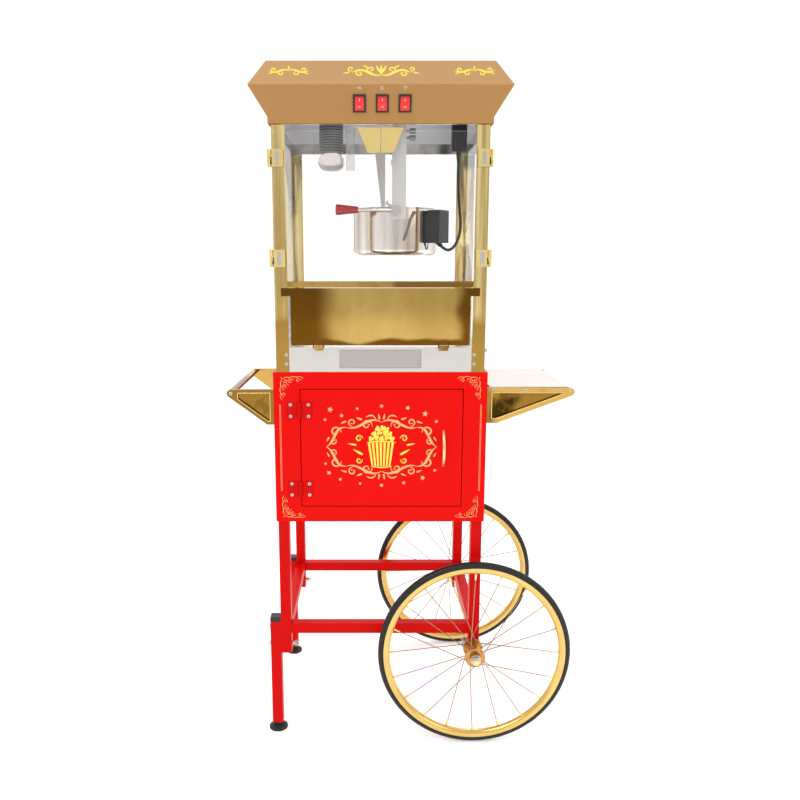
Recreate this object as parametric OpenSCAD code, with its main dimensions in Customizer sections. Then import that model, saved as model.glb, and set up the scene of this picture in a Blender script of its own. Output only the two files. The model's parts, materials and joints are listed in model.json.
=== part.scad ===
// Popcorn cart: a square-tube cart with two spoked wheels and a storage
// cabinet, carrying a glazed popping cabin with a tilting kettle.
// Millimetres, +Z up, the front faces -Y. The origin is on the floor under
// the middle of the whole cart.

/* [Cabinet] */
// Width of the storage cabinet
cabinet_w = 489; // [430:1:600]
// Depth of the storage cabinet and of the popping cabin
cabinet_d = 409; // [360:1:500]
// Height of the storage cabinet
cabinet_h = 355.5; // [330:0.5:460]
// Height of the cabinet floor above the ground
cabinet_z = 541.5; // [520:0.5:620]
// Thickness of the cabinet's sheet steel
sheet = 1.5; // [1:0.1:2]
// Width of the cabinet door
door_w = 372; // [320:1:380]
// Height of the cabinet door
door_h = 277; // [240:1:300]
// Depth of the folded door pan
door_t = 15; // [10:1:24]
// Gap round the cabinet door
door_gap = 1.5; // [1:0.1:3]
// Height of the door's lower edge above the cabinet floor
door_rise = 38.5; // [30:0.5:50]

/* [Legs and rails] */
// Side of the square leg tube
leg_side = 25.4; // [20:0.1:32]
// Wall of the square tube
tube_wall = 1.5; // [1:0.1:2]
// Height of the lower end of the main legs
leg_bottom = 206; // [195:1:210]
// Gap between a leg and the cabinet's side sheet
leg_gap_side = 3; // [1:0.5:6]
// Gap between a leg and the cabinet's front or rear sheet
leg_gap_face = 0.5; // [0.3:0.1:2]
// Height of the lower rails
rail_z = 257; // [250:1:300]
// Side of the rail tube
rail_side = 25; // [20:1:25]
// Height of the top of the extension legs
extension_top = 286; // [282:1:320]
// Height of the lower end of the extension legs
extension_bottom = 19; // [18:1:26]
// Diameter of the levelling pads
pad_d = 45; // [35:1:60]
// Diameter of the levelling screw
foot_screw_d = 10; // [8:1:12]

/* [Wheels] */
// Diameter over the tyre
wheel_d = 457; // [440:1:480]
// Width of the tyre
tyre_w = 20; // [18:1:28]
// Thickness of the tyre outside the rim
tyre_t = 12.5; // [10:0.5:15]
// Radial height of the rim
rim_t = 15; // [12:1:20]
// Width of the rim
rim_w = 18; // [14:1:18]
// Number of spokes in a wheel, a multiple of four
spoke_n = 20; // [16:4:36]
// Diameter of a spoke
spoke_d = 2; // [1.8:0.1:3]
// Diameter of the hub flanges
hub_flange_d = 47; // [42:1:60]
// Distance between the hub flanges
hub_span = 47; // [36:1:60]
// Distance from the leg's face to the wheel's middle plane
wheel_gap = 42; // [40:1:60]
// Diameter of the axle rod
axle_d = 12; // [10:1:13]
// Distance of the axle from the leg's middle, towards the cart's middle
axle_inset = 4; // [0:0.5:5]

/* [Popping cabin] */
// Width over the corner columns
cabin_w = 473; // [420:1:484]
// Height of the base tray under the deck
base_h = 56.5; // [50:0.5:80]
// Height of the columns above the cabinet
column_h = 554; // [500:1:600]
// Width of a column's two flanges
column_side = 29.5; // [24:0.5:34]
// Thickness of the column angle
column_t = 2; // [1.5:0.1:3]
// Thickness of the glass
glass_t = 4; // [3:0.5:5]
// Height of the lower edge of the glass doors above the cabinet
glass_rise = 201; // [190:1:215]
// Height of the glass doors
glass_h = 322; // [280:1:325]
// Height of the drop-down serving panel
panel_h = 128.5; // [110:0.5:129]
// Width of the serving panel between the columns
panel_w = 403; // [340:1:410]
// Width of the crumb drawer's front
drawer_w = 184; // [140:1:260]
// Height of the crumb drawer's front
drawer_h = 41; // [34:1:44]
// Depth of the crumb drawer
drawer_d = 250; // [180:1:320]

/* [Canopy] */
// Height of the straight lower band
canopy_band_h = 14; // [10:1:24]
// Height of the outward slope above the band
canopy_lower_h = 59; // [50:1:80]
// Height of the inward slope up to the flat top
canopy_upper_h = 55; // [40:1:80]
// Overhang of the band past the columns
canopy_band_out = 6; // [4:1:10]
// Overhang of the ridge past the columns, at the sides
canopy_ridge_side = 42.5; // [30:0.5:60]
// Overhang of the ridge past the columns, front and rear
canopy_ridge_face = 37; // [30:0.5:60]
// How far the flat top lies inside the ridge
canopy_top_in = 35; // [20:1:60]
// Thickness of the canopy sheet
canopy_t = 1.5; // [1:0.1:2.5]
// Width of a switch's bezel
switch_w = 27.4; // [24:0.1:32]
// Height of a switch's bezel along the slope
switch_h = 37; // [32:0.5:40]
// Distance between the switches
switch_pitch = 48.2; // [40:0.1:60]

/* [Kettle] */
// Outside diameter of the kettle
kettle_d = 200; // [160:1:205]
// Height of the kettle
kettle_h = 108; // [80:1:120]
// Wall of the kettle
kettle_t = 1.5; // [1:0.1:2.5]
// Height of the kettle's underside above the cabinet
kettle_rise = 261; // [240:1:275]
// Distance of the kettle's middle to the right of the cabin's middle
kettle_x = 35; // [20:1:40]
// Distance of the kettle's middle behind the cabin's front
kettle_y = 170; // [150:1:200]
// Diameter of the pins that the kettle tilts on
pivot_d = 8; // [6:0.5:10]
// Diameter of the grip at its thick end
grip_d = 25; // [18:1:28]
// Length of the grip
grip_l = 51; // [40:1:70]
// Diameter of the kettle's lead
lead_d = 7; // [6:0.5:8]

/* [Handle and shelf] */
// How far the push handle stands out from the cabinet
handle_reach = 107; // [90:1:150]
// Distance between the outer faces of the handle brackets
handle_span = 352; // [280:1:360]
// Diameter of the push bar
push_bar_d = 18; // [14:1:22]
// Height of the brackets
bracket_h = 82; // [60:1:110]
// Depth of a bracket's folded rim
bracket_t = 10; // [8:1:14]
// Width of the side shelf
shelf_w = 181.5; // [140:0.5:260]
// Depth of the side shelf
shelf_d = 300; // [240:1:340]
// Height of the shelf's folded edge
shelf_edge = 10; // [8:1:16]

/* [Fits] */
// Radial clearance of a shaft that turns in a bore
running = 0.05; // [0.02:0.01:0.09]
// Gap between parts that move past each other
slip = 0.5; // [0.3:0.1:1]
// Radial clearance of a bolt in its hole
bolt_fit = 0.1; // [0.05:0.01:0.3]

/* [Hidden] */
$fn = 64;

// Cabinet and legs
half_w = cabinet_w / 2;
cabinet_top = cabinet_z + cabinet_h;
leg_x = half_w - sheet - leg_gap_side - leg_side / 2;
leg_face = sheet + leg_gap_face;
leg_y = leg_face + leg_side / 2;
leg_inner = leg_x - leg_side / 2;
leg_outer = leg_x + leg_side / 2;
plug_depth = 12;
cap_h = 12;
bolt_d = 6;
bolt_head = 4;
bolt_af = 10;
bolt_low = leg_bottom + 20;
bolt_high = rail_z + rail_side / 2;
wing_l = 11;

// Wheels
wheel_r = wheel_d / 2;
wheel_x = leg_x - axle_inset;
rim_outer = wheel_r - tyre_t;
rim_inner = rim_outer - rim_t;
hub_half = hub_span / 2 + 8.5;
hub_barrel_d = 22;
hub_end_d = 26;
flange_t = 3;
bearing_d = 19;
bearing_l = 8;
washer_t = 1.5;
nut_h = 9;
nut_af = 19;
axle_tail = 3;
wheel_y = leg_face - wheel_gap;
hub_out = wheel_y - hub_half;
axle_end = hub_out - slip - washer_t - nut_h - axle_tail;

// Cabinet door
door_x = 3;
door_z = cabinet_z + door_rise;
door_head = 34;
door_tall = min(door_h, cabinet_h - door_rise - door_head);
door_left = door_x - door_w / 2;
hinge_leaf_w = 29;
hinge_leaf_h = 36;
hinge_leaf_t = 1.5;
knuckle_d = 8;
hinge_pin_d = 4;
hinge_x = door_left - door_gap / 2 - 1.5;
hinge_y = -knuckle_d / 2;
hinge_heights = [door_z + 23.5, door_z + door_tall - 66];
hinge_screw_x = 20.5;
hinge_screw_z = 13.5;
screw_hole = 4.2;
pull_x = door_x + door_w / 2 - 43;
pull_h = 81;
pull_out = 22;
pull_d = 7;

// Brackets, handle and shelf
bracket_top = cabinet_top - 40;
bracket_web = 2;
tip_r = 9;
tip_drop = 9.5;
shelf_gap = 7;
shelf_y = bracket_t;
shelf_far = shelf_y + shelf_d;
tie_x = half_w + shelf_gap + shelf_w + 3.5;
tie_d = 6;
shelf_top = cabinet_top - 35;

// Cabin
deck_t = 2;
base_t = 1.2;
half_cabin = cabin_w / 2;
column_in = half_cabin - column_side;
column_top = cabinet_top + column_h;
base_top = cabinet_top + base_h;
base_face = column_t + 0.3;
rail_t = 4;
rail_h = 26;
front_rail_h = 16;
glass_back = 2.5;
glass_y = -glass_back - glass_t;
glass_z = cabinet_top + glass_rise;
glass_top = glass_z + glass_h;
glass_edge = half_cabin - 2.5;
glass_meet = 0.8;
clip_t = 2;
glass_hinge_r = 4;
glass_hinge_x = half_cabin + 5;
glass_hinge_y = glass_y + glass_t / 2;
glass_hinge_h = 37;
glass_pin_d = 3;
glass_hinge_heights = [glass_z + 35, glass_top - 74];
panel_z = base_top + 5;
panel_top = panel_z + panel_h;
panel_t = 1.5;
panel_fold = 10;
panel_ear_w = cabin_w - 29;
panel_ear_h = 18.5;
panel_pin_d = 3;
panel_knuckle_r = 3;
panel_axis_y = -3.2;
panel_axis_z = base_top + 1.5;
panel_hinge_x = [-139.5, 142.5];
panel_hinge_w = 20;
drawer_z = cabinet_top + 9.5;
drawer_back = base_face + 2;
drawer_t = 1.2;

// Canopy
canopy_z = column_top - 16;
band_top = canopy_z + canopy_band_h;
ridge_z = band_top + canopy_lower_h;
canopy_top = ridge_z + canopy_upper_h;
slope_run = canopy_ridge_face - canopy_band_out;
slope_tilt = atan2(slope_run, canopy_lower_h);
switch_x = 3;
switch_share = 0.42;
switch_y = -canopy_band_out - slope_run * switch_share;
switch_z = band_top + canopy_lower_h * switch_share;
rocker_w = 19.6;
rocker_h = 28;
rocker_gap = 1;
bezel_deep = 16;
rocker_y = -1;
rocker_pin_d = 2.4;
ceiling_z = column_top + 50;

// Kettle
kettle_z = cabinet_top + kettle_rise;
kettle_r = kettle_d / 2;
rim_z = kettle_z + kettle_h;
pivot_z = rim_z - 8;
arm_t = 3;
arm_w = 32;
arm_left = kettle_x - 9;
knob_l = 20;
knob_head = 13;
knob_d = 12;
knob_stem_d = 5;
arm_gap = 7;
arm_front = kettle_y - kettle_r - arm_gap - arm_t;
arm_rear = kettle_y + kettle_r + arm_gap;
bar_w = 16;
bar_t = 5;
lid_t = 1.5;
lid_seat = 0.1;
lid_pin_d = 3;
lid_knuckle_r = 3;
lid_pin_half = 60;
lug_t = 4;
lid_axis = bar_w / 2 + lid_knuckle_r + slip;
lid_axis_z = rim_z + lid_t + lid_knuckle_r;
floor_z = kettle_z + 12;
shaft_d = 8;
drive_d = 10;
shaft_up = 14;
tilt_clear = 9;
coupling_z = pivot_z + kettle_r + tilt_clear;
coupling_gap = 1.5;
coupling_d = 20;
coupling_h = 14;
tongue_t = 4;
tongue_h = 6;
handle_y = arm_front - 7.5;
rod_d = 9;
rod_l = 76;
rod_in = 30;
plug_turn = -36;
plug_w = 42;
plug_deep = 38;
plug_h = 74;
plug_z = kettle_z + 29;
plug_mid = kettle_r + 1 + plug_deep / 2;
lamp_x = -112;
lamp_y = 100;
lamp_d = 54;
lamp_bottom = column_top - 64;
bulb_d = 62;
bulb_h = 40;
guard_w = 21;
socket_pos = [190, 200, column_top - 47];
socket_size = [35, 30];

// Route of the kettle's lead, from the ceiling socket down and round to the plug
lead_route = [
    [190, 200, 1403.7], [190, 199, 1380], [189, 192, 1350], [189, 181, 1315], [190, 167, 1275],
    [192, 153, 1242], [190, 141, 1215], [183, 130, 1193], [173, 120, 1178], [162, 111, 1171.5],
    [151.5, 105, 1173.5], [142, 101, 1180.8]
];
// The route is given for a plug at this distance from the kettle's middle, and for these heights of the cabin
route_plug_mid = 120;
route_socket_z = 1404;
route_plug_z = 1187;
top_shift = [0, 0, socket_pos[2] - route_socket_z];
lead_shift = (plug_mid - route_plug_mid) * [cos(plug_turn), sin(plug_turn), 0] + [0, 0, plug_z - route_plug_z];
lead_last = len(lead_route) - 1;
lead_spots = [for (i = [0 : lead_last]) lead_route[i] + top_shift + pow(i / lead_last, 2) * (lead_shift - top_shift)];
boot_from = lead_shift + [131, 96, 1190];
boot_to = lead_shift + [141.5, 100.8, 1181.2];
lead_steps = 4;

// The origin lies on the floor under the middle of everything
x_far = wheel_x + wheel_r;
x_near = -half_w - handle_reach;
origin_shift = [-(x_far + x_near) / 2, -cabinet_d / 2, 0];

// ---------- helpers ----------

module place() {
    translate(origin_shift) children();
}

module rear_copy() {
    translate([0, cabinet_d, 0]) mirror([0, 1, 0]) children();
}

module front_and_rear() {
    children();
    rear_copy() children();
}

module left_and_right() {
    children();
    mirror([1, 0, 0]) children();
}

// A block given by its lowest and highest corners
module block(low, high) {
    translate(low) cube(high - low);
}

// A round rod between two points
module rod(from, to, d) {
    run = to - from;
    len = norm(run);
    translate(from) rotate([0, acos(run[2] / len), atan2(run[1], run[0])]) cylinder(h = len, d = d);
}

// A round pin along X, Y or Z starting at a point
module pin_x(at, len, d) {
    translate(at) rotate([0, 90, 0]) cylinder(h = len, d = d);
}

module pin_y(at, len, d) {
    translate(at) rotate([-90, 0, 0]) cylinder(h = len, d = d);
}

module pin_z(at, len, d) {
    translate(at) cylinder(h = len, d = d);
}

module hex_x(at, len, af) {
    translate(at) rotate([0, 90, 0]) cylinder(h = len, d = af / cos(30), $fn = 6);
}

module hex_y(at, len, af) {
    translate(at) rotate([-90, 0, 0]) cylinder(h = len, d = af / cos(30), $fn = 6);
}

// An upright square tube centred on x, y
module square_tube(x, y, z0, z1, side) {
    difference() {
        block([x - side / 2, y - side / 2, z0], [x + side / 2, y + side / 2, z1]);
        block([x - side / 2 + tube_wall, y - side / 2 + tube_wall, z0 - 1],
              [x + side / 2 - tube_wall, y + side / 2 - tube_wall, z1 + 1]);
    }
}

// A solid between two rectangles, bottom and top, each given by half sizes
module frustum(half_low, half_high, z0, z1) {
    ring = [[-1, -1], [1, -1], [1, 1], [-1, 1]];
    points = concat([for (c = ring) [c[0] * half_low[0], cabinet_d / 2 + c[1] * half_low[1], z0]],
                    [for (c = ring) [c[0] * half_high[0], cabinet_d / 2 + c[1] * half_high[1], z1]]);
    polyhedron(points, [[0, 1, 2, 3], [7, 6, 5, 4], [0, 4, 5, 1], [1, 5, 6, 2], [2, 6, 7, 3], [3, 7, 4, 0]]);
}

// ---------- cart frame ----------

module main_legs() {
    color("red") place() difference() {
        front_and_rear() left_and_right()
            square_tube(leg_x, leg_y, leg_bottom, cabinet_top - sheet, leg_side);
        front_and_rear() {
            for (z = [bolt_low, bolt_high])
                pin_x([-leg_outer - 1, leg_y, z], leg_side + 2, bolt_d + 2 * bolt_fit);
            pin_x([leg_inner - 1, leg_y, wheel_r], leg_side + 2, bolt_d + 2 * bolt_fit);
            pin_y([wheel_x, leg_face - 1, wheel_r], leg_side + 2, axle_d + 2 * bolt_fit);
        }
    }
}

module rail_along_x(y) {
    difference() {
        block([-leg_inner, y - rail_side / 2, rail_z], [leg_inner, y + rail_side / 2, rail_z + rail_side]);
        block([-leg_inner - 1, y - rail_side / 2 + tube_wall, rail_z + tube_wall],
              [leg_inner + 1, y + rail_side / 2 - tube_wall, rail_z + rail_side - tube_wall]);
    }
}

module rail_along_y(x) {
    near = leg_face + leg_side;
    difference() {
        block([x - rail_side / 2, near, rail_z], [x + rail_side / 2, cabinet_d - near, rail_z + rail_side]);
        block([x - rail_side / 2 + tube_wall, near - 1, rail_z + tube_wall],
              [x + rail_side / 2 - tube_wall, cabinet_d - near + 1, rail_z + rail_side - tube_wall]);
    }
}

module lower_rails() {
    color("red") place() {
        front_and_rear() rail_along_x(leg_y);
        left_and_right() rail_along_y(leg_x);
    }
}

extension_x = -leg_outer - leg_side / 2;

module extension_legs() {
    color("red") place() difference() {
        front_and_rear() square_tube(extension_x, leg_y, extension_bottom, extension_top, leg_side);
        front_and_rear() for (z = [bolt_low, bolt_high])
            pin_x([extension_x - leg_side / 2 - 1, leg_y, z], leg_side + 2, bolt_d + 2 * bolt_fit);
    }
}

module tube_plugs() {
    inner = leg_side / 2 - tube_wall - bolt_fit;
    color("dimgray") place() {
        front_and_rear() {
            translate([extension_x, leg_y, extension_top]) block([-leg_side / 2, -leg_side / 2, 0],
                                                                 [leg_side / 2, leg_side / 2, cap_h]);
            difference() {
                translate([extension_x, leg_y, 0]) union() {
                    block([-inner, -inner, extension_bottom], [inner, inner, extension_bottom + plug_depth]);
                    block([-leg_side / 2, -leg_side / 2, extension_bottom - 2],
                          [leg_side / 2, leg_side / 2, extension_bottom]);
                }
                pin_z([extension_x, leg_y, 0], 60, foot_screw_d + 2 * running);
            }
        }
        front_and_rear() left_and_right() translate([leg_x, leg_y, leg_bottom])
            block([-inner, -inner, 0], [inner, inner, 6]);
    }
}

module levelling_foot() {
    cone_h = extension_bottom - 9;
    color("black") translate([extension_x, leg_y, 0]) {
        rotate_extrude() polygon([[0, 0], [pad_d / 2, 0], [pad_d / 2, 4], [pad_d / 2 - 4, 6],
                                  [foot_screw_d, cone_h], [0, cone_h]]);
        cylinder(h = extension_bottom + 20, d = foot_screw_d);
        translate([0, 0, cone_h]) cylinder(h = 5, d = 17 / cos(30), $fn = 6);
    }
}

module foot_front() {
    place() levelling_foot();
}

module foot_rear() {
    place() rear_copy() levelling_foot();
}

// A wing nut with its flat side at x, facing away along dir
module wing_nut(at, dir) {
    translate(at) mirror([dir < 0 ? 1 : 0, 0, 0]) difference() {
        union() {
            pin_x([0, 0, 0], 7, 11);
            for (s = [-1, 1]) rotate([0, 0, -s * 14]) translate([5, s * 3, 0])
                block([0, s > 0 ? 0 : -wing_l, -1.2], [9, s > 0 ? wing_l : 0, 1.2]);
        }
        pin_x([-1, 0, 0], 22, bolt_d + 2 * bolt_fit);
    }
}

module leg_fasteners() {
    left = extension_x - leg_side / 2;
    color("silver") place() front_and_rear() {
        for (z = [bolt_low, bolt_high]) {
            hex_x([left - bolt_head, leg_y, z], bolt_head, bolt_af);
            pin_x([left - 1, leg_y, z], 2 * leg_side + 11, bolt_d);
        }
        wing_nut([-leg_inner, leg_y, bolt_low], 1);
        hex_x([leg_outer, leg_y, wheel_r], bolt_head, bolt_af);
        pin_x([leg_inner - 10, leg_y, wheel_r], leg_side + 11, bolt_d);
        translate([0, leg_y, wheel_r]) rotate([90, 0, 0]) wing_nut([leg_inner, 0, 0], -1);
    }
}

// ---------- wheels ----------

module axle() {
    color("goldenrod") place() difference() {
        pin_y([wheel_x, axle_end, wheel_r], cabinet_d - 2 * axle_end, axle_d);
        front_and_rear() pin_x([wheel_x - axle_d, leg_y, wheel_r], 2 * axle_d, bolt_d + 2 * bolt_fit);
    }
}

module axle_hardware() {
    color("silver") place() front_and_rear() translate([wheel_x, 0, wheel_r]) difference() {
        union() {
            pin_y([0, wheel_y + hub_half + slip, 0], leg_face - wheel_y - hub_half - slip, 18);
            pin_y([0, hub_out - slip - washer_t, 0], washer_t, 25);
            hex_y([0, hub_out - slip - washer_t - nut_h, 0], nut_h, nut_af);
        }
        pin_y([0, axle_end - 1, 0], leg_face - axle_end + 2, axle_d + 2 * bolt_fit);
    }
}

// Wheel parts are drawn round +Z with their middle plane at zero, then stood up
module stand_wheel() {
    translate([wheel_x, wheel_y, wheel_r]) rotate([90, 0, 0]) children();
}

module tyre() {
    color("black") rotate_extrude($fn = 128) difference() {
        translate([wheel_r - tyre_w / 2, 0]) circle(d = tyre_w);
        translate([rim_outer - tyre_w, -tyre_w]) square([tyre_w, 2 * tyre_w]);
    }
}

module rim() {
    color("goldenrod") rotate_extrude($fn = 128)
        polygon([[rim_inner, -3], [rim_inner, 3], [rim_inner + 3, rim_w / 2 - 1.5],
                 [rim_inner + 6, rim_w / 2], [rim_outer, rim_w / 2],
                 [rim_outer, -rim_w / 2], [rim_inner + 6, -rim_w / 2], [rim_inner + 3, -rim_w / 2 + 1.5]]);
}

module spokes() {
    step = 720 / spoke_n;
    seat = hub_flange_d / 2 - 4;
    lean = flange_t / 2 + spoke_d / 2 - 0.3;
    color("silver") for (side = [-1, 1]) for (i = [0 : spoke_n / 4 - 1]) {
        turn = 2 * i * step + (side > 0 ? step / 2 : 0);
        for (run = [0, 1]) {
            from = turn + run * step;
            to = turn + (1 - run) * step;
            high = side * (hub_span / 2 + (run > 0 ? lean : -lean));
            rod([seat * cos(from), seat * sin(from), high],
                [(rim_inner + 3) * cos(to), (rim_inner + 3) * sin(to), side * 2], spoke_d);
        }
    }
}

module hub() {
    color("goldenrod") difference() {
        union() {
            translate([0, 0, -hub_half]) cylinder(h = 2 * hub_half, d = hub_barrel_d);
            for (s = [-1, 1]) {
                translate([0, 0, s * hub_span / 2 - flange_t / 2]) cylinder(h = flange_t, d = hub_flange_d);
                translate([0, 0, s > 0 ? hub_span / 2 : -hub_half])
                    cylinder(h = hub_half - hub_span / 2, d = hub_end_d);
            }
        }
        translate([0, 0, -hub_half - 1]) cylinder(h = 2 * hub_half + 2, d = bearing_d);
    }
    color("dimgray") for (s = [-1, 1]) translate([0, 0, s > 0 ? hub_half - bearing_l : -hub_half])
        difference() {
            cylinder(h = bearing_l, d = bearing_d - 0.04);
            translate([0, 0, -1]) cylinder(h = bearing_l + 2, d = axle_d + 2 * running);
        }
}

module front_tyre() {
    place() stand_wheel() tyre();
}

module front_rim() {
    place() stand_wheel() rim();
}

module front_spokes() {
    place() stand_wheel() spokes();
}

module front_hub() {
    place() stand_wheel() hub();
}

module rear_tyre() {
    place() rear_copy() stand_wheel() tyre();
}

module rear_rim() {
    place() rear_copy() stand_wheel() rim();
}

module rear_spokes() {
    place() rear_copy() stand_wheel() spokes();
}

module rear_hub() {
    place() rear_copy() stand_wheel() hub();
}

// ---------- cabinet ----------

module cabinet_shell() {
    hole = leg_side / 2 + leg_gap_face;
    color("red") place() difference() {
        block([-half_w, 0, cabinet_z], [half_w, cabinet_d, cabinet_top]);
        block([-half_w + sheet, sheet, cabinet_z + sheet], [half_w - sheet, cabinet_d - sheet, cabinet_top - sheet]);
        block([door_left - door_gap, -1, door_z - door_gap],
              [door_left + door_w + door_gap, sheet + 1, door_z + door_tall + door_gap]);
        front_and_rear() left_and_right()
            block([leg_x - hole, leg_y - hole, cabinet_z - 1], [leg_x + hole, leg_y + hole, cabinet_z + sheet + 1]);
    }
}

module cart_door() {
    color("red") place() difference() {
        block([door_left, 0, door_z], [door_left + door_w, door_t, door_z + door_tall]);
        block([door_left + sheet, sheet, door_z + sheet],
              [door_left + door_w - sheet, door_t + 1, door_z + door_tall - sheet]);
    }
}

// A bowed bar that stands off the door in one arc
module cart_door_handle() {
    radius = (pull_h * pull_h / 4 + pull_out * pull_out) / (2 * pull_out);
    color("khaki") place() intersection() {
        translate([pull_x, radius - pull_out, door_z + door_tall / 2]) rotate([0, 90, 0])
            rotate_extrude() translate([radius, 0]) circle(d = pull_d);
        block([pull_x - pull_d, -pull_out - pull_d, door_z], [pull_x + pull_d, 0, door_z + door_tall]);
    }
}

// One hinge knuckle round the pin
module knuckle(z0, z1) {
    pin_z([hinge_x, hinge_y, z0], z1 - z0, knuckle_d);
}

module hinge_frame_leaves() {
    third = hinge_leaf_h / 3;
    color("red") place() for (z = hinge_heights) {
        difference() {
            union() {
                block([hinge_x - hinge_leaf_w, -hinge_leaf_t, z],
                      [hinge_x - knuckle_d / 2 - slip, 0, z + hinge_leaf_h]);
                for (z0 = [z, z + 2 * third]) {
                    knuckle(z0, z0 + third);
                    block([hinge_x - knuckle_d, -hinge_leaf_t, z0], [hinge_x, -0.01, z0 + third]);
                }
            }
            for (dz = [-1, 1])
                pin_y([hinge_x - hinge_screw_x, -5, z + hinge_leaf_h / 2 + dz * hinge_screw_z], 10, screw_hole);
        }
        pin_z([hinge_x, hinge_y, z - 1.5], hinge_leaf_h + 3, hinge_pin_d);
    }
}

module hinge_door_leaves() {
    third = hinge_leaf_h / 3;
    color("red") place() for (z = hinge_heights) difference() {
        union() {
            block([hinge_x + knuckle_d / 2 + slip, -hinge_leaf_t, z], [hinge_x + hinge_leaf_w, 0, z + hinge_leaf_h]);
            knuckle(z + third + slip / 2, z + 2 * third - slip / 2);
            block([hinge_x, -hinge_leaf_t, z + third + slip / 2],
                  [hinge_x + knuckle_d, -0.01, z + 2 * third - slip / 2]);
        }
        pin_z([hinge_x, hinge_y, z - 1], hinge_leaf_h + 2, hinge_pin_d + 2 * running);
        for (dz = [-1, 1])
            pin_y([hinge_x + hinge_screw_x, -5, z + hinge_leaf_h / 2 + dz * hinge_screw_z], 10, screw_hole);
    }
}

// A small hex-head screw seated on a face at y, driven towards +Y
module face_screw(at, shank) {
    translate(at) {
        hex_y([0, -2.5, 0], 2.5, 7);
        pin_y([0, -1, 0], shank + 1, 4);
    }
}

module hinge_door_screws() {
    color("silver") place() for (z = hinge_heights, dz = [-1, 1])
        face_screw([hinge_x + hinge_screw_x, -hinge_leaf_t, z + hinge_leaf_h / 2 + dz * hinge_screw_z], 6);
}

// A dome-head screw driven along +Y from a face
module dome_screw(at, d, shank) {
    translate(at) {
        intersection() {
            translate([0, d * 0.35, 0]) sphere(d = d * 1.22);
            block([-d, -d, -d], [d, 0, d]);
        }
        pin_y([0, -0.5, 0], shank + 0.5, d * 0.5);
    }
}

// Screws that stay with the frame, the magnetic catch and the side knob
module body_screws() {
    catch_x = door_left + door_w;
    catch_z = door_z + door_tall / 2;
    color("silver") place() {
        for (z = hinge_heights, dz = [-1, 1])
            face_screw([hinge_x - hinge_screw_x, -hinge_leaf_t, z + hinge_leaf_h / 2 + dz * hinge_screw_z], 6);
        for (z = [base_top - 17, base_top - 38]) left_and_right()
            dome_screw([column_in + 6, 0, z], 8, 8);
        for (far = [0, 1]) translate([-half_w - handle_reach + tip_r, far * handle_span, bracket_top - tip_drop])
            mirror([0, far, 0]) dome_screw([0, 0, 0], 9, 8);
        for (x = [half_w + 16, half_w + 90, tie_x - 28, tie_x]) front_and_rear_of_shelf()
            dome_screw([x, 0, shelf_top - 7.5], 7, 8);
        for (y = [40, cabinet_d - 40]) left_and_right()
            translate([half_cabin + canopy_band_out, y, canopy_z + canopy_band_h / 2]) rotate([0, 0, 90])
                dome_screw([0, 0, 0], 7, 12);
    }
    color("dimgray") place() {
        block([catch_x + door_gap + 1, sheet, catch_z - 20], [catch_x + 17, door_t + 5, catch_z + 20]);
        block([catch_x - 12, door_t + 0.4, catch_z - 20], [catch_x + door_gap + 1, door_t + 5, catch_z + 20]);
        translate([half_cabin, 16, base_top - 9]) pin_x([0, 0, 0], 7, 8);
    }
}

module front_and_rear_of_shelf() {
    children();
    translate([0, 2 * shelf_y + shelf_d, 0]) mirror([0, 1, 0]) children();
}

// ---------- push handle and side shelf ----------

// Flat outline of a bracket: a straight top, a rounded tip and a short foot,
// drawn with x outwards from the cabinet and y up, the top at zero
module bracket_outline(reach, foot, r, inset) {
    offset(delta = -inset) hull() {
        translate([0, -bracket_h]) square([foot, bracket_h]);
        translate([reach - r, -tip_drop]) circle(r = r);
    }
}

// A pressed bracket: a rim of the given width round a thin web at its back
module bracket(reach, foot, rim_w) {
    rotate([90, 0, 0]) translate([0, 0, -bracket_t]) difference() {
        linear_extrude(bracket_t) bracket_outline(reach, foot, tip_r, 0);
        translate([0, 0, bracket_web]) linear_extrude(bracket_t) difference() {
            bracket_outline(reach, foot, tip_r, rim_w);
            translate([reach - 2.8 * tip_r, -bracket_h]) square([3 * tip_r, bracket_h]);
        }
    }
}

module side_brackets() {
    color("goldenrod") place() {
        for (far = [0, 1]) {
            translate([-half_w, far * handle_span, bracket_top]) mirror([0, far, 0]) mirror([1, 0, 0])
                bracket(handle_reach, 16, 8);
            translate([half_w, far * (2 * shelf_y + shelf_d), shelf_top - 1]) mirror([0, far, 0])
                bracket(shelf_gap + shelf_w + 11.5, 24, 11);
        }
    }
}

// The push bar and the tie bar under the shelf's outer edge
module cross_bars() {
    bar_x = -half_w - handle_reach + tip_r;
    color("gainsboro") place() {
        pin_y([bar_x, bracket_t, bracket_top - tip_drop], handle_span - 2 * bracket_t, push_bar_d);
        pin_y([tie_x, shelf_y, shelf_top - 7.5], shelf_d, tie_d);
    }
}

module shelf_tray() {
    left = half_w + shelf_gap;
    color("gainsboro") place() difference() {
        block([left, shelf_y, shelf_top - shelf_edge], [left + shelf_w, shelf_far, shelf_top]);
        block([left + sheet, shelf_y + sheet, shelf_top - shelf_edge - 1],
              [left + shelf_w - sheet, shelf_far - sheet, shelf_top - sheet]);
    }
}

// ---------- base of the cabin ----------

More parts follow.
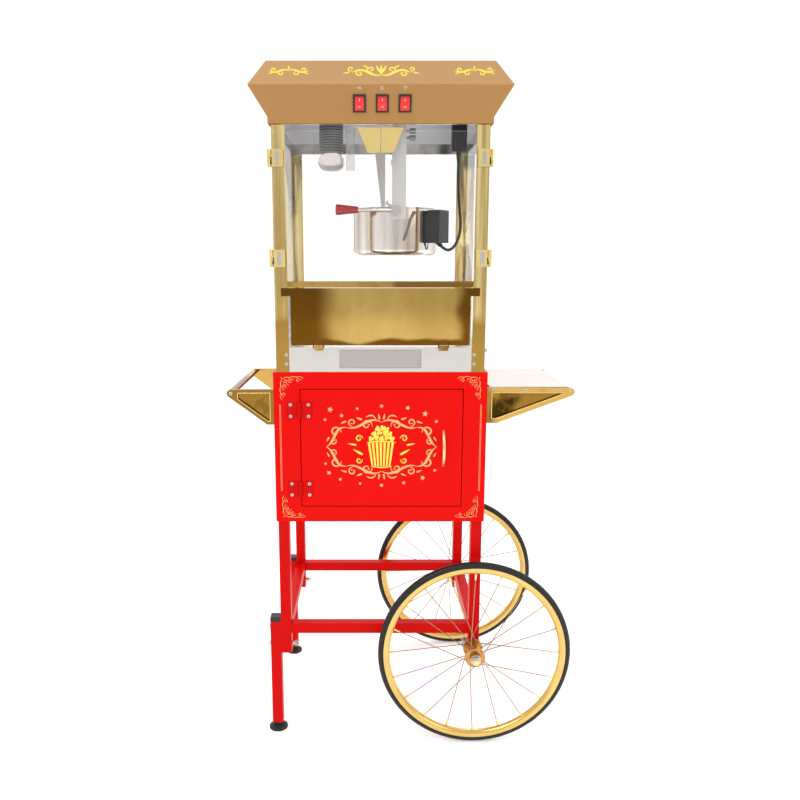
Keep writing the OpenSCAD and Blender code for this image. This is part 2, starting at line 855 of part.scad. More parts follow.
module machine_base() {
    outer = half_cabin - column_t - 0.3;
    color("gainsboro") place() difference() {
        block([-outer, base_face, cabinet_top], [outer, cabinet_d - base_face, base_top - deck_t]);
        block([-outer + base_t, base_face + base_t, cabinet_top + base_t],
              [outer - base_t, cabinet_d - base_face - base_t, base_top]);
        block([-drawer_w / 2 - slip, base_face - 1, drawer_z - slip],
              [drawer_w / 2 + slip, base_face + base_t + 1, drawer_z + drawer_h + slip]);
    }
    // Runners that the drawer slides on
    color("gainsboro") place() for (s = [-1, 1])
        block([s * (drawer_w / 2 - 20) - 6, drawer_back + slip, cabinet_top + base_t],
              [s * (drawer_w / 2 - 20) + 6, drawer_back + drawer_d, drawer_z + 0.4]);
}

// Cover of the base, slotted over the drawer so that husks fall through
module popcorn_deck() {
    outer = half_cabin - column_t - 0.3;
    slot_n = 9;
    color("silver") place() difference() {
        block([-outer, base_face, base_top - deck_t], [outer, cabinet_d - base_face, base_top]);
        for (i = [0 : slot_n - 1], j = [0 : 3])
            translate([(i - (slot_n - 1) / 2) * 18, 60 + j * 46, base_top - deck_t - 1])
                cube([6, 34, deck_t + 2]);
    }
}

module crumb_drawer() {
    tray_w = drawer_w / 2 - 3;
    low = drawer_z - slip + 1;
    color("gainsboro") place() {
        difference() {
            block([-tray_w, drawer_back, low], [tray_w, drawer_back + drawer_d, drawer_z + 30]);
            block([-tray_w + drawer_t, drawer_back + drawer_t, low + drawer_t],
                  [tray_w - drawer_t, drawer_back + drawer_d - drawer_t, drawer_z + 31]);
        }
        block([-drawer_w / 2, base_face + 0.5, drawer_z], [drawer_w / 2, drawer_back + 0.01, drawer_z + drawer_h]);
        for (s = [-1, 1]) pin_y([s * (drawer_w / 2 - 6), base_face - 1, drawer_z + 6], 2, 5);
    }
}

module serving_panel() {
    half = panel_w / 2;
    color("goldenrod") place() {
        difference() {
            block([-half, -panel_t, panel_z], [half, panel_fold, panel_top - 8]);
            block([-half + panel_t, 0, panel_z + panel_t], [half - panel_t, panel_fold + 1, panel_top]);
        }
        block([-half, -panel_t, panel_top - 9], [half, 0, panel_top - slip]);
        block([-panel_ear_w / 2, -panel_t, panel_top - panel_ear_h], [panel_ear_w / 2, -0.4, panel_top - slip]);
        for (x = panel_hinge_x) {
            pin_x([x - panel_hinge_w / 2 - 3, panel_axis_y, panel_axis_z], panel_hinge_w + 6, panel_pin_d);
            for (s = [-1, 1]) translate([x + s * (panel_hinge_w / 2 + slip + 1), 0, 0]) {
                pin_x([-1, panel_axis_y, panel_axis_z], 2, 2 * panel_knuckle_r);
                block([-1, panel_axis_y - panel_knuckle_r, panel_axis_z], [1, -0.01, panel_z + 6]);
            }
        }
    }
}

// ---------- cabin ----------

module columns() {
    color("goldenrod") place() difference() {
        front_and_rear() left_and_right() difference() {
            block([column_in, 0, cabinet_top], [half_cabin, column_side, column_top]);
            block([column_in - 1, column_t, cabinet_top - 1], [half_cabin - column_t, column_side + 1, column_top + 1]);
        }
    }
}

// Rails that tie the columns, and the tabs that the serving panel hangs on
module cabin_rails() {
    inner = half_cabin - column_t;
    low_z = panel_top + 0.5;
    color("goldenrod") place() {
        block([-inner, column_t, column_top - front_rail_h], [inner, column_t + rail_t, column_top]);
        rear_copy() block([-inner, column_t, column_top - rail_h], [inner, column_t + rail_t, column_top]);
        left_and_right() block([inner - rail_t, column_t + rail_t, column_top - rail_h],
                               [inner, cabinet_d - column_t - rail_t, column_top]);
        block([-inner, column_t, low_z], [inner, column_t + rail_t, low_z + 14]);
        for (x = panel_hinge_x) difference() {
            union() {
                pin_x([x - panel_hinge_w / 2, panel_axis_y, panel_axis_z], panel_hinge_w, 2 * panel_knuckle_r);
                block([x - panel_hinge_w / 2, panel_axis_y, panel_axis_z - 9],
                      [x + panel_hinge_w / 2, base_face, panel_axis_z - 1.5]);
            }
            pin_x([x - panel_hinge_w, panel_axis_y, panel_axis_z], 2 * panel_hinge_w, panel_pin_d + 2 * running);
        }
    }
}

module fixed_glass() {
    inner = half_cabin - column_t - 0.3;
    near = column_t + rail_t + 2;
    color("lightblue") place() {
        left_and_right() block([inner - glass_t + 1, near, base_top], [inner, cabinet_d - near, column_top - rail_h - 1]);
        block([-inner + glass_t, cabinet_d - column_t - 4, base_top],
              [inner - glass_t, cabinet_d - column_t - 0.3, column_top - rail_h - 1]);
    }
}

module glass_pane() {
    block([-glass_edge, glass_y, glass_z], [-glass_meet, -glass_back, glass_top]);
}

module left_glass_door() {
    color("lightblue") place() glass_pane();
}

module right_glass_door() {
    color("lightblue") place() mirror([1, 0, 0]) glass_pane();
}

// Clips on the glass edge with their knuckles, and the corner pull plate
module door_fittings() {
    third = glass_hinge_h / 3;
    front = glass_y - clip_t;
    back = -glass_back + 1.5;
    plate_top = glass_top + 7;
    plate_low = plate_top - 52;
    for (z = glass_hinge_heights) difference() {
        union() {
            pin_z([-glass_hinge_x, glass_hinge_y, z + third + slip / 2], third - slip, 2 * glass_hinge_r);
            block([-glass_hinge_x, front, z + third + slip / 2], [-glass_edge, glass_y, z + 2 * third - slip / 2]);
            difference() {
                block([-glass_edge - 1.5, front, z], [-glass_edge + 24, back, z + glass_hinge_h]);
                block([-glass_edge, glass_y, z - 1], [-glass_edge + 25, -glass_back, z + glass_hinge_h + 1]);
            }
        }
        pin_z([-glass_hinge_x, glass_hinge_y, z - 1], glass_hinge_h + 2, glass_pin_d + 2 * running);
    }
    translate([0, glass_y, 0]) rotate([90, 0, 0]) linear_extrude(1.5)
        polygon([[-49.5, plate_top], [-glass_meet, plate_top], [-glass_meet, plate_low], [-28, plate_low]]);
    block([-47, glass_y - 0.1, glass_top], [-glass_meet, -1, glass_top + 1.5]);
}

module left_door_fittings() {
    color("goldenrod") place() door_fittings();
}

module right_door_fittings() {
    color("goldenrod") place() mirror([1, 0, 0]) door_fittings();
}

// Brackets on the columns that carry the glass doors' pins
module glass_door_hinges() {
    third = glass_hinge_h / 3;
    color("goldenrod") place() left_and_right() for (z = glass_hinge_heights) {
        block([half_cabin, 0.2, z], [half_cabin + 2, 22, z + glass_hinge_h]);
        for (z0 = [z, z + 2 * third]) {
            pin_z([glass_hinge_x, glass_hinge_y, z0], third, 2 * glass_hinge_r);
            block([half_cabin + 0.01, glass_hinge_y, z0], [glass_hinge_x + glass_hinge_r, 1, z0 + third]);
        }
        pin_z([glass_hinge_x, glass_hinge_y, z - 1], glass_hinge_h + 2, glass_pin_d);
    }
}

// ---------- canopy ----------

module canopy_solid(inset) {
    band = [half_cabin + canopy_band_out - inset, cabinet_d / 2 + canopy_band_out - inset];
    ridge = [half_cabin + canopy_ridge_side - inset, cabinet_d / 2 + canopy_ridge_face - inset];
    crown = [ridge[0] - canopy_top_in, ridge[1] - canopy_top_in];
    frustum(band, band, canopy_z - (inset > 0 ? 1 : 0), band_top);
    frustum(band, ridge, band_top, ridge_z);
    frustum(ridge, crown, ridge_z, canopy_top - inset);
}

module on_slope(i) {
    translate([switch_x + (i - 1) * switch_pitch, switch_y, switch_z]) rotate([slope_tilt, 0, 0]) children();
}

module canopy() {
    color("peru") place() difference() {
        canopy_solid(0);
        canopy_solid(canopy_t);
        for (i = [0 : 2]) on_slope(i)
            block([-switch_w / 2 + 1.5, -5, -switch_h / 2 + 1.5], [switch_w / 2 - 1.5, 12, switch_h / 2 - 1.5]);
    }
}

module ceiling_pan() {
    inner = half_cabin - column_t - rail_t / 2;
    near = column_t + rail_t / 2;
    color("gainsboro") place() difference() {
        block([-inner, near, column_top], [inner, cabinet_d - near, ceiling_z]);
        block([-inner + sheet, near + sheet, column_top - 1],
              [inner - sheet, cabinet_d - near - sheet, ceiling_z - sheet]);
        pin_z([kettle_x, kettle_y, column_top], ceiling_z, drive_d + 6);
    }
}

module switch_bezels() {
    open_w = rocker_w / 2 + 0.4;
    open_h = rocker_h / 2 + rocker_gap;
    color("black") place() for (i = [0 : 2]) on_slope(i) difference() {
        union() {
            block([-switch_w / 2, -2.5, -switch_h / 2], [switch_w / 2, 0, switch_h / 2]);
            block([-switch_w / 2 + 2, -0.1, -switch_h / 2 + 2], [switch_w / 2 - 2, bezel_deep, switch_h / 2 - 2]);
        }
        block([-open_w, -5, -open_h], [open_w, bezel_deep - 3, open_h]);
        pin_x([-rocker_w / 2 - 2.1, rocker_y, 0], rocker_w + 4.2, rocker_pin_d + 2 * running);
    }
}

// A rocker whose lower half stands out at rest, pivoting on a short pin
module rocker(i) {
    dip = 1.8;
    color("red") place() on_slope(i) {
        rotate([90, 0, 90]) linear_extrude(rocker_w, center = true)
            polygon([[-1.2 + dip, rocker_h / 2], [-3.2, 0], [-2.6 - dip, -rocker_h / 2],
                     [4, -rocker_h / 2 + 1.5], [9, 0], [4, rocker_h / 2 - 1.5]]);
        pin_x([-rocker_w / 2 - 2, rocker_y, 0], rocker_w + 4, rocker_pin_d);
    }
}

module rocker_left() {
    rocker(0);
}

module rocker_middle() {
    rocker(1);
}

module rocker_right() {
    rocker(2);
}

// ---------- lamp ----------

module lamp_housing() {
    color("gray") place() {
        translate([lamp_x, lamp_y, 0]) difference() {
            translate([0, 0, lamp_bottom]) cylinder(h = ceiling_z - sheet - lamp_bottom, d = lamp_d);
            translate([0, 0, lamp_bottom - 1]) cylinder(h = ceiling_z - lamp_bottom - 12, d = lamp_d - 6);
        }
        block([lamp_x + bulb_d / 2 + 2, lamp_y - 1, lamp_bottom - 38],
              [lamp_x + bulb_d / 2 + 2 + guard_w, lamp_y + 0.5, ceiling_z - sheet]);
    }
}

module lamp_bulb() {
    r = bulb_d / 2;
    color("white") place() translate([lamp_x, lamp_y, lamp_bottom]) {
        translate([0, 0, -bulb_h]) rotate_extrude() polygon([[0, 0], [r * 0.55, 2], [r * 0.85, 8], [r, 18],
                                                              [r * 0.93, 30], [r * 0.7, bulb_h - 1], [0, bulb_h - 1]]);
        translate([0, 0, -2]) cylinder(h = ceiling_z - lamp_bottom - 11, d = 27);
    }
}

// ---------- drive and hanger ----------

module gearmotor() {
    color("dimgray") place() {
        difference() {
            union() {
                block([kettle_x - 32, kettle_y - 32, ceiling_z], [kettle_x + 32, kettle_y + 32, ceiling_z + 22]);
                pin_z([kettle_x + 6, kettle_y + 6, ceiling_z + 22], 26, 44);
            }
            pin_z([kettle_x, kettle_y, ceiling_z - 1], 16, drive_d + 2 * running);
        }
        for (z = [column_top - 36, column_top - 21]) translate([arm_left + arm_w, arm_front - knob_stem_d / 2, z]) {
            pin_x([0, 0, 0], knob_l, knob_stem_d);
            pin_x([knob_l - knob_head, 0, 0], knob_head, knob_d);
        }
    }
}

module drive_shaft() {
    color("silver") place() {
        translate([kettle_x, kettle_y, coupling_z + coupling_gap]) difference() {
            union() {
                pin_z([0, 0, 0], ceiling_z + shaft_up - coupling_z - coupling_gap, drive_d);
                pin_z([0, 0, 0], coupling_h, coupling_d);
            }
            block([-coupling_d, -tongue_t / 2 - running, -1], [coupling_d, tongue_t / 2 + running, tongue_h]);
        }
    }
}

// Two plates that carry the kettle's pivots, the rear one cranked to the left
module hanger_arms() {
    top = ceiling_z - sheet;
    color("gainsboro") place() {
        difference() {
            block([arm_left, arm_front, pivot_z - 20], [arm_left + arm_w, arm_front + arm_t, top]);
            pin_y([kettle_x, arm_front - 1, pivot_z], arm_t + 2, pivot_d + 2 * running);
        }
        difference() {
            translate([0, arm_rear + arm_t, 0]) rotate([90, 0, 0]) linear_extrude(arm_t)
                polygon([[-22, top], [14, top], [14, pivot_z + 14], [kettle_x + 12, pivot_z + 14],
                         [kettle_x + 12, pivot_z - 14], [8, pivot_z - 14]]);
            pin_y([kettle_x, arm_rear - 1, pivot_z], arm_t + 2, pivot_d + 2 * running);
        }
    }
}

// ---------- kettle ----------

module kettle_pot() {
    r = kettle_r;
    corner = 14;
    color("silver") place() translate([kettle_x, kettle_y, 0]) {
        rotate_extrude($fn = 96) difference() {
            union() {
                translate([0, kettle_z + corner]) square([r, kettle_h - corner]);
                translate([0, kettle_z]) square([r - corner, corner + 1]);
                translate([r - corner, kettle_z + corner]) circle(r = corner);
            }
            translate([-r, kettle_z - 1]) square([r, kettle_h + 2]);
            translate([-1, floor_z]) square([r + 1 - kettle_t, kettle_h]);
            translate([-1, kettle_z + kettle_t]) square([r - corner, floor_z - kettle_z - 2 * kettle_t]);
        }
    }
    // The heating plate lies sealed between the two floors
    color("dimgray") place() pin_z([kettle_x, kettle_y, kettle_z + kettle_t + bolt_fit], 6, 2 * (r - corner) - 12);
}

// The bar across the pot's mouth, its ears and pivot pins, and the lids' pins
module kettle_bridge() {
    near = arm_front + arm_t + 1.5;
    far = arm_rear - 1.5;
    color("silver") place() difference() {
        union() {
            block([kettle_x - bar_w / 2, near, rim_z], [kettle_x + bar_w / 2, far, rim_z + bar_t]);
            for (y = [near, far - 2]) block([kettle_x - 10, y, pivot_z - 12], [kettle_x + 10, y + 2, rim_z + bar_t]);
            pin_y([kettle_x, arm_front - 12, pivot_z], 13 + arm_t + 1.5, pivot_d);
            pin_y([kettle_x, far - 1, pivot_z], arm_t + 6, pivot_d);
            for (s = [-1, 1]) {
                pin_y([kettle_x + s * lid_axis, kettle_y - lid_pin_half, lid_axis_z], 2 * lid_pin_half, lid_pin_d);
                for (e = [-lid_pin_half, lid_pin_half - lug_t]) translate([kettle_x, kettle_y + e, lid_axis_z])
                    mirror([s > 0 ? 0 : 1, 0, 0]) block([bar_w / 2 - 1, 0, -2], [lid_axis + 2.5, lug_t, 2.5]);
            }
            pin_z([kettle_x, kettle_y, rim_z - 6], bar_t + 8, 14);
        }
        pin_z([kettle_x, kettle_y, rim_z - 10], bar_t + 20, shaft_d + 2 * running);
    }
}

// The left lid; the right one is its mirror image
module kettle_lid() {
    edge = lid_axis + 1;
    difference() {
        union() {
            intersection() {
                pin_z([0, 0, rim_z + lid_seat], lid_t, kettle_d);
                block([-kettle_r, -kettle_r, rim_z], [-edge, kettle_r, rim_z + 2 * lid_t]);
            }
            for (y = [-48, 18]) {
                pin_y([-lid_axis, y, lid_axis_z], 30, 2 * lid_knuckle_r);
                block([-lid_axis - lid_knuckle_r, y, rim_z + lid_seat + 0.01], [-edge + 0.01, y + 30, lid_axis_z]);
            }
        }
        pin_y([-lid_axis, -100, lid_axis_z], 200, lid_pin_d + 2 * running);
    }
}

module kettle_lid_left() {
    color("silver") place() translate([kettle_x, kettle_y, 0]) kettle_lid();
}

module kettle_lid_right() {
    color("silver") place() translate([kettle_x, kettle_y, 0]) mirror([1, 0, 0]) kettle_lid();
}

module kettle_handle() {
    color("silver") place() difference() {
        union() {
            pin_y([kettle_x, handle_y - 5.5, pivot_z], 11, 22);
            pin_x([kettle_x - 9 - rod_l - rod_in, handle_y, pivot_z + 1.5], rod_l + rod_in + 4, rod_d);
            translate([0, handle_y - 2, 0]) rotate([-90, 0, 0]) linear_extrude(4)
                polygon([[kettle_x - 9, -pivot_z - 4], [kettle_x - 24, -pivot_z - 14], [kettle_x - 20, -pivot_z - 24],
                         [kettle_x - 16, -pivot_z - 16], [kettle_x - 2, -pivot_z - 8]]);
        }
        pin_y([kettle_x, handle_y - 20, pivot_z], 40, pivot_d + 2 * running);
    }
}

module kettle_grip() {
    bore = rod_d / 2 + bolt_fit;
    color("red") place() translate([kettle_x - 9 - rod_l - grip_l, handle_y, pivot_z + 1.5]) rotate([0, 90, 0])
        rotate_extrude() polygon([[0, 0], [grip_d / 2 - 2, 0], [grip_d / 2, 2], [grip_d / 2 - 0.5, 8],
                                  [rod_d / 2 + 3, grip_l - 4], [rod_d / 2 + 2.5, grip_l], [bore, grip_l],
                                  [bore, grip_l - rod_in - 1], [0, grip_l - rod_in - 1]]);
}

module kettle_plug() {
    color("black") place() translate([kettle_x, kettle_y, 0]) rotate([0, 0, plug_turn]) {
        block([plug_mid - plug_deep / 2 + 6, -plug_w / 2, plug_z],
              [plug_mid + plug_deep / 2, plug_w / 2, plug_z + plug_h]);
        difference() {
            block([kettle_r - 8, -plug_w / 2 + 6, plug_z + 8], [plug_mid, plug_w / 2 - 6, plug_z + plug_h - 8]);
            pin_z([0, 0, plug_z], plug_h, kettle_d + bolt_fit);
        }
    }
    color("black") place() rod(boot_from, boot_to, lead_d + 3);
}

module cord_socket() {
    half = [socket_size[0] / 2, socket_size[1] / 2];
    color("black") place() {
        block([socket_pos[0] - half[0], socket_pos[1] - half[1], socket_pos[2]],
              [socket_pos[0] + half[0], socket_pos[1] + half[1], ceiling_z - sheet]);
        translate([-140, cabinet_d - base_face, cabinet_top + 26]) pin_y([0, 0, 0], 9, 20);
    }
}

// ---------- kettle's lead: a tube swept along a smooth curve through the route ----------

function curve(a, b, c, d, t) =
    0.5 * ((2 * b) + (c - a) * t + (2 * a - 5 * b + 4 * c - d) * t * t + (3 * b - a - 3 * c + d) * t * t * t);

function route_point(p, i) = p[min(max(i, 0), len(p) - 1)];

lead_path = [
    for (i = [0 : lead_last - 1], s = [0 : lead_steps - 1])
        curve(route_point(lead_spots, i - 1), lead_spots[i], lead_spots[i + 1], route_point(lead_spots, i + 2),
              s / lead_steps),
    lead_spots[lead_last]
];

function unit(v) = v / norm(v);

function ring_at(path, i, n, r) =
    let (back = path[max(i - 1, 0)], ahead = path[min(i + 1, len(path) - 1)], run = unit(ahead - back),
         side = unit(cross([0, 1, 0], run)), up = cross(run, side))
    [for (k = [0 : n - 1]) path[i] + r * (cos(360 * k / n) * side + sin(360 * k / n) * up)];

module swept_tube(path, n, r) {
    rings = len(path);
    points = [for (i = [0 : rings - 1]) each ring_at(path, i, n, r)];
    walls = [for (i = [0 : rings - 2], k = [0 : n - 1])
        [i * n + k, (i + 1) * n + k, (i + 1) * n + (k + 1) % n, i * n + (k + 1) % n]];
    first = [for (k = [0 : n - 1]) k];
    last = [for (k = [n - 1 : -1 : 0]) (rings - 1) * n + k];
    polyhedron(points, concat([first], walls, [last]));
}

module kettle_cord() {
    color("black") place() swept_tube(lead_path, 10, lead_d / 2);
}

module stirrer() {
    color("silver") place() translate([kettle_x, kettle_y, 0]) {
        pin_z([0, 0, floor_z + slip], coupling_z - floor_z - slip, shaft_d);
        intersection() {
            pin_z([0, 0, coupling_z - 1], tongue_h + 1, shaft_d);
            block([-shaft_d, -tongue_t / 2, coupling_z - 1], [shaft_d, tongue_t / 2, coupling_z + tongue_h]);
        }
        block([-kettle_r + 14, -4, floor_z + slip], [kettle_r - 14, 4, floor_z + slip + 3]);
    }
}

// ---------- drawing ----------

main_legs();
lower_rails();
extension_legs();
tube_plugs();
foot_front();
foot_rear();
leg_fasteners();
axle();
axle_hardware();
front_tyre();
front_rim();
front_spokes();
front_hub();
rear_tyre();
rear_rim();
rear_spokes();
rear_hub();
cabinet_shell();
cart_door();
cart_door_handle();
hinge_frame_leaves();
hinge_door_leaves();
hinge_door_screws();
body_screws();
side_brackets();
cross_bars();
shelf_tray();
machine_base();
popcorn_deck();
crumb_drawer();
serving_panel();
columns();
cabin_rails();
fixed_glass();
left_glass_door();
left_door_fittings();
right_glass_door();
right_door_fittings();
glass_door_hinges();
canopy();
ceiling_pan();
switch_bezels();
rocker_left();
rocker_middle();
rocker_right();
lamp_housing();
lamp_bulb();
gearmotor();
drive_shaft();
hanger_arms();
kettle_pot();
kettle_bridge();
kettle_lid_left();
kettle_lid_right();
kettle_handle();
kettle_grip();
kettle_plug();
kettle_cord();
cord_socket();
stirrer();
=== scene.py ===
"""Popcorn cart: finishes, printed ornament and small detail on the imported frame."""

import json
import logging
import math
from dataclasses import dataclass
from typing import Any, Callable, Iterable, Sequence

import bmesh
import bpy
from mathutils import Matrix, Vector

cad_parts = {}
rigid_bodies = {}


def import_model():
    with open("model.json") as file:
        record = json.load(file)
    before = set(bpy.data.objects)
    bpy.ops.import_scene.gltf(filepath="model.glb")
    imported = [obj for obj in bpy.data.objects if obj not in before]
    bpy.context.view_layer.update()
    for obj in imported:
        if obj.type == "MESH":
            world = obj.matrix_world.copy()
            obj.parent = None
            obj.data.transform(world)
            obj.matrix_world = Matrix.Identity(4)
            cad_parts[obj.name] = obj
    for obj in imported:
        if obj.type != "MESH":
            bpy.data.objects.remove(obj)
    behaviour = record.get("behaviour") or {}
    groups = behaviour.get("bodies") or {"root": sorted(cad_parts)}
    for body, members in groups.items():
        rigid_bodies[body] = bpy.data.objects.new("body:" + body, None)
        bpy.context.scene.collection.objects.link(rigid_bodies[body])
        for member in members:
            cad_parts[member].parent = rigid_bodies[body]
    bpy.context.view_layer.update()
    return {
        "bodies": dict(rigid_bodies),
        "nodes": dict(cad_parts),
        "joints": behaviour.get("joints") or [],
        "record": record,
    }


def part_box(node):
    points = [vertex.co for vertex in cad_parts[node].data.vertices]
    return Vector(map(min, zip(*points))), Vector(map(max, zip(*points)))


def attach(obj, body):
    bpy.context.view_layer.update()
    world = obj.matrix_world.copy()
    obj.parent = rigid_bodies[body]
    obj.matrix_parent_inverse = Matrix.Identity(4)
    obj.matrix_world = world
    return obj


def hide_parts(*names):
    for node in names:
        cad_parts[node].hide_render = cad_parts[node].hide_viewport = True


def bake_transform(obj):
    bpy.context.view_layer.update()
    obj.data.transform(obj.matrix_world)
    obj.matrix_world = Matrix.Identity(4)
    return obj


log = logging.getLogger("popcorn_cart")

Point2 = tuple[float, float]
Colour = tuple[float, float, float]
# Front and back of the sky, which is darker behind the camera so that the metals have something to mirror
FRONT_SKY = (0.78, 0.78, 0.78, 1)
BACK_SKY = (1.12, 1.12, 1.12, 1)
ROCKERS = ("rocker_left", "rocker_middle", "rocker_right")
# Names of the edges of a painted reflection's bright area
PAINTED_REFLECTION_EDGES = ("Left", "Left In", "Right", "Right In", "Low", "Low In")


def linear(colour: str | Colour) -> Colour:
    """Returns a colour in linear light; a hex string holds screen values."""
    if not isinstance(colour, str):
        return colour
    shares = (int(colour[i:i + 2], 16) / 255 for i in (0, 2, 4))
    return tuple(share / 12.92 if share <= 0.04045 else ((share + 0.055) / 1.055) ** 2.4 for share in shares)


@dataclass(frozen=True)
class Finish:
    """One finish: its colour, how it varies and how it shines."""

    name: str
    slot: str
    colour: str | Colour
    tint: str | Colour
    drift: float
    drift_scale: float
    roughness: float
    metallic: float
    grain: float | tuple[float, float, float]
    grain_rough: float
    bump: float
    smudge: float
    coat: float = 0.0
    specular: float = 0.5
    transmission: float = 0.0
    index: float = 1.45
    stretch: tuple[float, float, float] = (1.0, 1.0, 1.0)
    edge: float = 0.17
    # shade: the colour of painted shade round a painted reflection; the next field gives that reflection's edges as
    # left, left in, right, right in, low, low in
    shade: str | None = None
    window: tuple[float, ...] = ()


# Each row's values stand in the order of the fields above; one number for the grain means all three directions
FRAME_RED = Finish("frame_red_coat", "red_frame_paint", "cc0805", "b60403", 0.3, 3, 0.36, 0, 900, 0.05, 0.06, 0.06,
                   0, 0.09)
SHEET_RED = Finish("sheet_red_gloss", "red_gloss_sheet", "de0804", "cc0403", 0.35, 2.2, 0.3, 0, 260, 0.02, 0.012,
                   0.03, 0, 0.09)
CANOPY_TAN = Finish("canopy_tan_coat", "tan_paint", "a87c46", "9e723e", 0.35, 3, 0.42, 0, 1100, 0.05, 0.05, 0.04, 0,
                    0.3)
# Lighter copy of the canopy paint for its up-facing faces: painted light on the upper slope, the same paint as below
CANOPY_LIT_TOP = Finish("canopy_tan_painted_light", "tan_paint", "b68e5e", "ac8456", 0.35, 3, 0.42, 0, 1100, 0.05, 0.05, 0.04,
                    0, 0.3)
# Mirror gold whose broad drift to a dark brown tint is painted reflection: light and dark patches in place of what
# the sheet mirrors
MIRROR_GOLD_PAINTED_REFLECTIONS = Finish("mirror_gold_painted_reflections", "mirror_gold", "cca458", "845c1e", 0.85, 5.5, 0.07, 1, (60, 900, 900),
                     0.03, 0.01, 0.08, stretch=(1, 1, 0.55), edge=0.05)
# Serving panel gold with a painted reflection: its drift colour in a soft-edged bright area, and a dark colour of
# painted shade round its left, right and lower edges
PANEL_GOLD_PAINTED_REFLECTION = Finish("mirror_gold_panel_painted_reflection", "mirror_gold", "ceac62", "b08a42", 0.7, 7, 0.07, 1, (60, 900, 900), 0.03,
                    0.01, 0.08, stretch=(1, 1, 0.4), edge=0.12, shade="704a14",
                    window=(-0.2, -0.135, 0.145, 0.115, 0.966, 0.976))
# Darker gold for the brackets' recess floors: painted shade in the recesses
RECESS_GOLD_PAINTED_SHADE = Finish("mirror_gold_recess_painted_shade", "mirror_gold", "96702e", "362208", 0.95, 13, 0.08, 1, (60, 900, 900),
                     0.03, 0.01, 0.08, stretch=(1, 1, 0.8), edge=0.06)
# Column gold with painted reflection: pale vertical streaks of painted highlight, and a darker colour of painted
# shade below the glass
COLUMN_GOLD_PAINTED_SHEEN = Finish("column_gold_painted_sheen", "mirror_gold", "f6e09e", "ba964a", 0.8, 1, 0.1, 1, (900, 900, 60), 0.05,
                     0.012, 0.08, stretch=(70, 70, 1.2), edge=0.1, shade="a8843e",
                     window=(-9, -8, 9, 8, 1.005, 1.04))
PLATE_GOLD = Finish("plated_gold", "gold_plate", "f8de94", "e8c674", 0.4, 20, 0.2, 1, 700, 0.08, 0.03, 0.1)
RIM_GOLD = Finish("rim_gold", "gold_rim", "e2c476", "ceaa58", 0.4, 9, 0.22, 1, 500, 0.07, 0.02, 0.1)
PULL_GOLD = Finish("pull_cream_gold", "cream_gold", "f0d6a0", "dcbc80", 0.3, 20, 0.24, 0.85, 700, 0.06, 0.02, 0.08)
SPOKE_WIRE = Finish("spoke_wire_bright", "spoke_wire", "a88a6c", "84664a", 0.4, 30, 0.22, 1, 900, 0.06, 0.02, 0.08)
HUB_GOLD = Finish("hub_copper_gold", "gold_plate", "ce9854", "96642c", 0.6, 40, 0.2, 1, 500, 0.08, 0.03, 0.08)
ZINC = Finish("bright_zinc", "zinc", "cccac6", "b0aeaa", 0.4, 60, 0.26, 1, 900, 0.1, 0.04, 0.08)
STEEL_SHEET = Finish("brushed_sheet_steel", "stainless", "d6d2cc", "c0bcb6", 0.4, 5, 0.3, 1, (14, 900, 900), 0.12,
                     0.03, 0.1)
STEEL_POLISHED = Finish("polished_steel_spun", "polished_steel", "d8d2ca", "bab2a8", 0.4, 14, 0.12, 1,
                        (120, 120, 1400), 0.06, 0.015, 0.1)
GREY_METAL = Finish("grey_cast_coat", "grey_metal", "969594", "747475", 0.4, 12, 0.42, 0.4, 600, 0.1, 0.08, 0.08)
BLACK_PLASTIC = Finish("black_moulding", "black_plastic", "1c1b1b", "282726", 0.4, 20, 0.42, 0, 1600, 0.1, 0.12,
                       0.08)
FOOT_RUBBER = Finish("foot_rubber", "black_rubber_foot", "1a1a1a", "2e2c2a", 0.5, 40, 0.62, 0, 900, 0.1, 0.15, 0.1)
TYRE_RUBBER = Finish("tyre_rubber_black", "tyre_rubber", "0c0c0c", "181716", 0.5, 9, 0.46, 0, 700, 0.1, 0.12, 0.12)
LEAD_RUBBER = Finish("lead_rubber", "cord_rubber", "141414", "222120", 0.4, 30, 0.44, 0, 1200, 0.08, 0.08, 0.08)
PANE = Finish("clear_pane", "clear_glass", (1, 1, 1), (0.985, 0.995, 0.99), 0.2, 2, 0.012, 0, 8, 0.01, 0, 0.015, 0,
              0.5, 1, 1.3)
BULB_GLASS = Finish("lamp_moulded_glass", "lamp_glass", (0.95, 0.9, 0.88), (0.86, 0.8, 0.78), 0.3, 30, 0.12, 0, 180,
                    0.05, 0.2, 0.04, 0, 0.5, 0.7, 1.2)
ROCKER_RED = Finish("rocker_red_lens", "red_lens", "e8180e", "c40806", 0.3, 90, 0.2, 0, 500, 0.04, 0.03, 0.05, 0.4)
GRIP_RED = Finish("grip_red_moulding", "red_grip", "c4140c", "960a08", 0.4, 40, 0.26, 0, 500, 0.06, 0.04, 0.06, 0.4)
# Near-white ceiling steel: painted light that brightens the under-lit inside of the cabin
CEILING_STEEL_PAINTED_LIGHT = Finish("ceiling_sheet_painted_light", "stainless", "f4f4f5", "e2e2e6", 0.5, 6, 0.34, 0.25, (14, 900, 900),
                       0.1, 0.03, 0.08)
TRAY_STEEL = Finish("tray_sheet_steel", "stainless", "cec7be", "beb6ac", 0.5, 4, 0.3, 1, (14, 900, 900), 0.1, 0.03,
                    0.08)
# Pale hanger-arm steel: painted light that brightens the arms inside the cabin
ARM_STEEL_PAINTED_LIGHT = Finish("arm_sheet_painted_light", "stainless", "f0ece8", "d6d0ca", 0.5, 9, 0.3, 0.5, (900, 900, 14), 0.1, 0.03,
                   0.08, stretch=(3, 3, 0.3))
